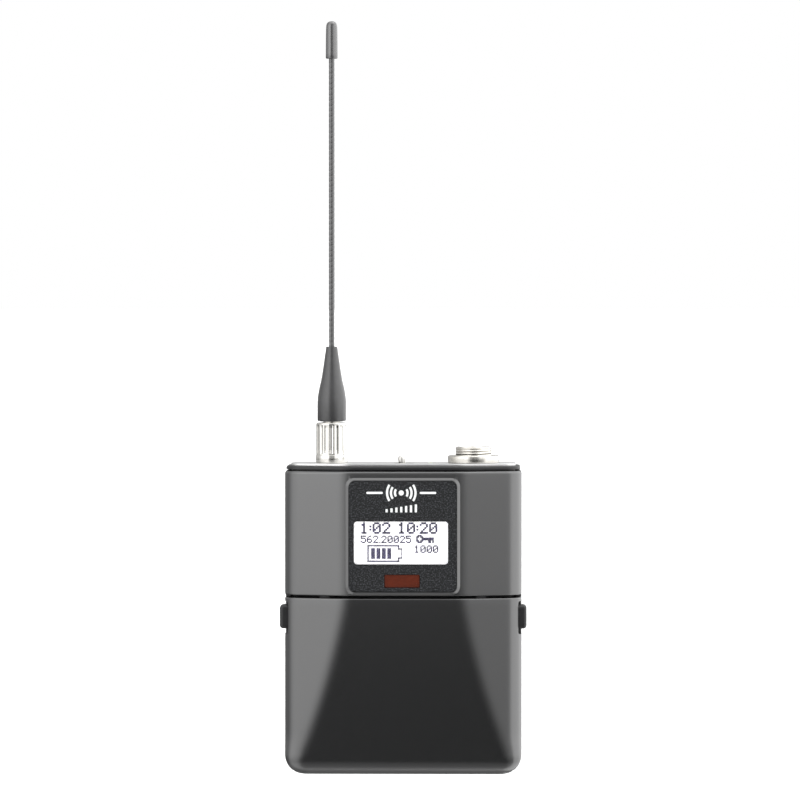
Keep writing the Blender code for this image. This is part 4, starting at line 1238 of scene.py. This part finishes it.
def belt_clip():
    leg = 20.0
    side = [(27.6, CLIP_Y, CLIP_Z), (leg, CLIP_Y, CLIP_Z), (leg, 17.0, CLIP_Z - 4.0), (leg, 17.0, 27.0),
            (leg, 13.1, 18.5), (leg, 14.4, 12.5)]
    line = side + [(-x, y, z) for x, y, z in reversed(side)]
    radii = (1.6, 2.2, 6.0, 4.0, 3.5, 3.5, 4.0, 6.0, 2.2, 1.6)
    steps = (10, 8, 8, 8, 14, 14, 8, 8, 8, 10)
    path = rounded_path(line, radii, steps)
    clip = wire("belt_clip_wire", path, 1.0, 8)
    show(bevel(clip, 0.18, 2, 60), "belt_clip", CLIP_STEEL, "steel", "belt_clip")


def case_screws():
    low_y, high_y = SCREW_DEPTH
    head = [(0, high_y - 0.02), (1.2, high_y - 0.05), (1.75, high_y - 0.2), (2.02, high_y - 0.5),
            (2.1, high_y - 0.85), (2.1, low_y), (0.95, low_y), (0.95, -1.8), (0.75, -2.0), (0, -2.0)]
    for number, centre in screw_places():
        screw = turned(f"case_screw_{number}_torx", head, centre, 48, axis="Y")
        lobes = []
        for step in range(72):
            angle = 2 * pi * step / 72
            reach = 0.95 + 0.16 * cos(6 * angle)
            lobes.append((centre[0] + reach * cos(angle), centre[2] + reach * sin(angle)))
        combine(screw, "DIFFERENCE", slab("drive", lobes, (high_y - 1.0, high_y + 1), "Y"))
        show(smooth(screw, 30), "chassis", BLACK_STEEL, "steel", f"case_screw_{number}")


# ---- battery bay and keys

def cells():
    for word in ("upper", "lower"):
        low, high = corners(f"battery_cell_{word}")
        centre = (low + high) / 2
        radius = (high.z - low.z) / 2
        half = (high.x - low.x - 1.2) / 2
        profile = [(0, half + 1.8), (2.3, half + 1.8), (2.5, half + 1.65), (2.5, half + 0.62),
                   (2.7, half + 0.55)]
        profile = [(r, h - 0.6) for r, h in profile]
        profile += [(radius - 0.9, half), (radius - 0.35, half - 0.03), (radius - 0.1, half - 0.12),
                    (radius, half - 0.4), (radius, -half + 0.4), (radius - 0.12, -half + 0.1),
                    (radius - 0.4, -half + 0.02), (radius - 1.3, -half + 0.02), (radius - 1.5, -half),
                    (0, -half)]
        cell = turned(f"cell_{word}", profile, (0, 0, 0), 64, axis="X")
        cell.data.materials.append(CELL_WRAP)
        cell.data.materials.append(CONTACT_NICKEL)
        for face in cell.data.polygons:
            reach = hypot(face.center.y, face.center.z) / MM
            face.material_index = 1 if reach < radius - 1.0 else 0
        shift = 0.6 if word == "upper" else -0.6
        cell.location = Vector((centre.x - shift, centre.y, centre.z)) * MM
        if word == "lower":
            cell.rotation_euler = (0, pi, 0)
        show(smooth(cell), "chassis", None, "cell_wrap", f"battery_cell_{word}")


def keys():
    profile = [(0, -8.3), (1.2, -8.28), (1.6, -8.2), (1.85, -8.02), (1.97, -7.8), (2.0, -7.5),
               (2.0, -6.0), (2.8, -6.0), (2.8, -5.4), (0, -5.4)]
    for number in (1, 2, 3, 4):
        middle = middle_of(f"menu_button_{number}")
        key = turned(f"menu_key_{number}", profile, (middle.x, 0, middle.z), 48, axis="Y")
        show(smooth(key, 40), f"menu_button_{number}", KEY_RUBBER, "rubber", f"menu_button_{number}")


def dress_inner_nodes():
    """The CAD nodes that stay get softened edges and finished materials."""
    plain = {
        "battery_tray": (TRAY_PLASTIC, 0.2), "key_panel": (BLACK_PLASTIC, 0.2), "key_board": (BOARD, 0.05),
        "main_board": (BOARD, 0.05), "rf_shield": (STEEL, 0.0), "power_switch_body": (INSULATOR, 0.3),
        "hinge_pin_left": (STEEL, 0.05), "hinge_pin_right": (STEEL, 0.05),
        "battery_contact_bridge": (CONTACT_NICKEL, 0.08), "battery_contact_upper": (CONTACT_NICKEL, 0.08),
        "battery_contact_lower": (CONTACT_NICKEL, 0.08), "contact_spring_upper": (STEEL, 0.0),
        "contact_spring_lower": (STEEL, 0.0),
    }
    for name, (material, width) in plain.items():
        node = frame["nodes"][name]
        for place in node.material_slots:
            place.material = material
        if width:
            node.modifiers.new("joined", "WELD").merge_threshold = 0.000001
            add_rounding(node, width, 2)


# ---- studio

CAMERA_ELEVATION = radians(1.17)
CAMERA_TURN = radians(1.0)
CAMERA_DISTANCE = 1500.0
VIEW_WIDTH = 223.3
AIM = (-0.95, 0.0, 104.3)
FLOOR_Z = -16.0

# The tent's light, as soft steps over an angle in degrees: (start, end, level before, level after).
# Steps over the turn from the front; where there are two, they are multiplied.
LEFT_SIDE = ((-150, -120, 0.0, 1.0), (-108, -66, 0.27, 0.0))
LEFT_PANEL = ((-108, -66, 0.0, 1.44), (-25, -15, 1.0, 0.0))
RIGHT_PANEL = ((20, 26, 0.0, 0.49), (47, 55, 1.0, 0.0))
RIGHT_SIDE = ((47, 55, 0.0, 1.75), (140, 168, 1.0, 0.0))
BEHIND = (110, 145, 0.0, 0.12)
# Steps over the rise above the horizon.
PANEL_FALL = ((-26, 4, 0.74, 1.0), (42, 55, 1.0, 0.25))
GAP_GLOW = (-8, 3, 0.0, 0.46)
BELOW = (-36, -26, 0.27, 0.0)
ABOVE = (42, 62, 0.0, 1.25)


def camera():
    data = bpy.data.cameras.new("camera")
    data.sensor_width = 36.0
    data.lens = data.sensor_width * CAMERA_DISTANCE / VIEW_WIDTH
    data.clip_end = 100.0
    data.dof.use_dof = False
    view = link("camera", data)
    level = cos(CAMERA_ELEVATION)
    back = Vector((sin(CAMERA_TURN) * level, -cos(CAMERA_TURN) * level, sin(CAMERA_ELEVATION)))
    view.location = (Vector(AIM) + back * CAMERA_DISTANCE) * MM
    view.rotation_euler = (-back).to_track_quat("-Z", "Y").to_euler()
    bpy.context.scene.camera = view


def softbox(name, location, aim, width, height, power):
    data = bpy.data.lights.new(name, "AREA")
    data.shape = "RECTANGLE"
    data.size = width
    data.size_y = height
    data.energy = power
    light = link(name, data)
    light.location = location
    light.rotation_euler = (Vector(aim) - Vector(location)).to_track_quat("-Z", "Y").to_euler()


class Shade:
    """Short names for the world's number nodes."""

    def __init__(self, tree):
        self.tree = tree

    def calculate(self, kind, *values):
        node = self.tree.nodes.new("ShaderNodeMath")
        node.operation = kind
        for socket, value in zip(node.inputs, values):
            if isinstance(value, (int, float)):
                socket.default_value = value
            else:
                self.tree.links.new(value, socket)
        return node.outputs["Value"]

    def ramp(self, value, start, end, low, high):
        """A soft step from one level to another between two angles, in degrees."""
        return ramp(self.tree, value, radians(start), radians(end), low, high, "SMOOTHSTEP")

    def band(self, value, steps):
        """Soft steps over the same angle, multiplied."""
        return self.times(*[self.ramp(value, *step) for step in steps])

    def times(self, *values):
        total = values[0]
        for value in values[1:]:
            total = self.calculate("MULTIPLY", total, value)
        return total

    def plus(self, *values):
        total = values[0]
        for value in values[1:]:
            total = self.calculate("ADD", total, value)
        return total


def world():
    """A light tent: two soft panels in front, bright sides, and a dim gap between the panels."""
    scene_world = bpy.data.worlds.new("tent")
    bpy.context.scene.world = scene_world
    scene_world.use_nodes = True
    tree = scene_world.node_tree
    background = tree.nodes["Background"]
    place = tree.nodes.new("ShaderNodeTexCoord").outputs["Generated"]
    split = tree.nodes.new("ShaderNodeSeparateXYZ")
    tree.links.new(place, split.inputs["Vector"])
    x, y, z = split.outputs["X"], split.outputs["Y"], split.outputs["Z"]
    shade = Shade(tree)
    turn = shade.calculate("ARCTAN2", x, shade.times(y, -1.0))
    rise = shade.calculate("ARCSINE", z)

    panels = shade.times(shade.plus(shade.band(turn, LEFT_PANEL), shade.band(turn, RIGHT_PANEL)),
                         shade.band(rise, PANEL_FALL))
    behind = shade.ramp(shade.calculate("ABSOLUTE", turn), *BEHIND)
    light = shade.plus(panels, shade.band(turn, LEFT_SIDE), shade.band(turn, RIGHT_SIDE), behind,
                       shade.ramp(rise, *GAP_GLOW), shade.ramp(rise, *BELOW), shade.ramp(rise, *ABOVE))

    camera_ray = tree.nodes.new("ShaderNodeLightPath").outputs["Is Camera Ray"]
    unseen = shade.calculate("SUBTRACT", 1.0, camera_ray)
    strength = shade.plus(camera_ray, shade.times(unseen, light))
    tree.links.new(strength, background.inputs["Strength"])
    background.inputs["Color"].default_value = (1.0, 1.0, 1.0, 1.0)


def floor():
    """Low enough that the open door hangs clear of it."""
    size = 40.0
    ground = link("floor", bpy.data.meshes.new("floor"))
    spots = [(x * size, y * size, FLOOR_Z * MM) for x, y in ((-1, -1), (1, -1), (1, 1), (-1, 1))]
    ground.data.from_pydata(spots, [], [(0, 1, 2, 3)])
    material, tree, shader, place = nodes_of("pale_floor")
    tint = mix_colours(tree, between(tree, noise(tree, place, 400.0), 0, 1), (0.90, 0.90, 0.90),
                       (0.93, 0.93, 0.93))
    tree.links.new(tint, shader.inputs["Base Color"])
    shader.inputs["Roughness"].default_value = 0.9
    shader.inputs["Specular IOR Level"].default_value = 0.0
    ground.data.materials.append(material)
    ground.visible_glossy = False


def studio():
    camera()
    floor()
    world()
    middle = (0.0, 0.0, 0.09)
    softbox("left_softbox", (-0.52, -0.74, 0.32), middle, 0.4, 0.5, 0.5)
    softbox("right_softbox", (0.52, -0.74, 0.32), middle, 0.4, 0.5, 0.5)
    bpy.context.scene.view_settings.view_transform = "Standard"


front_cover()
rear_cover()
battery_door()
door_pad()
top_end()
power_toggle()
status_led()
display_bezel()
display_panes()
lcd_module()
bezel_print()
antenna_collar()
antenna_boot()
antenna_whip()
antenna_tip()
antenna_fittings()
input_barrel()
input_nut()
input_contacts()
latches()
belt_clip()
case_screws()
cells()
keys()
dress_inner_nodes()
studio()
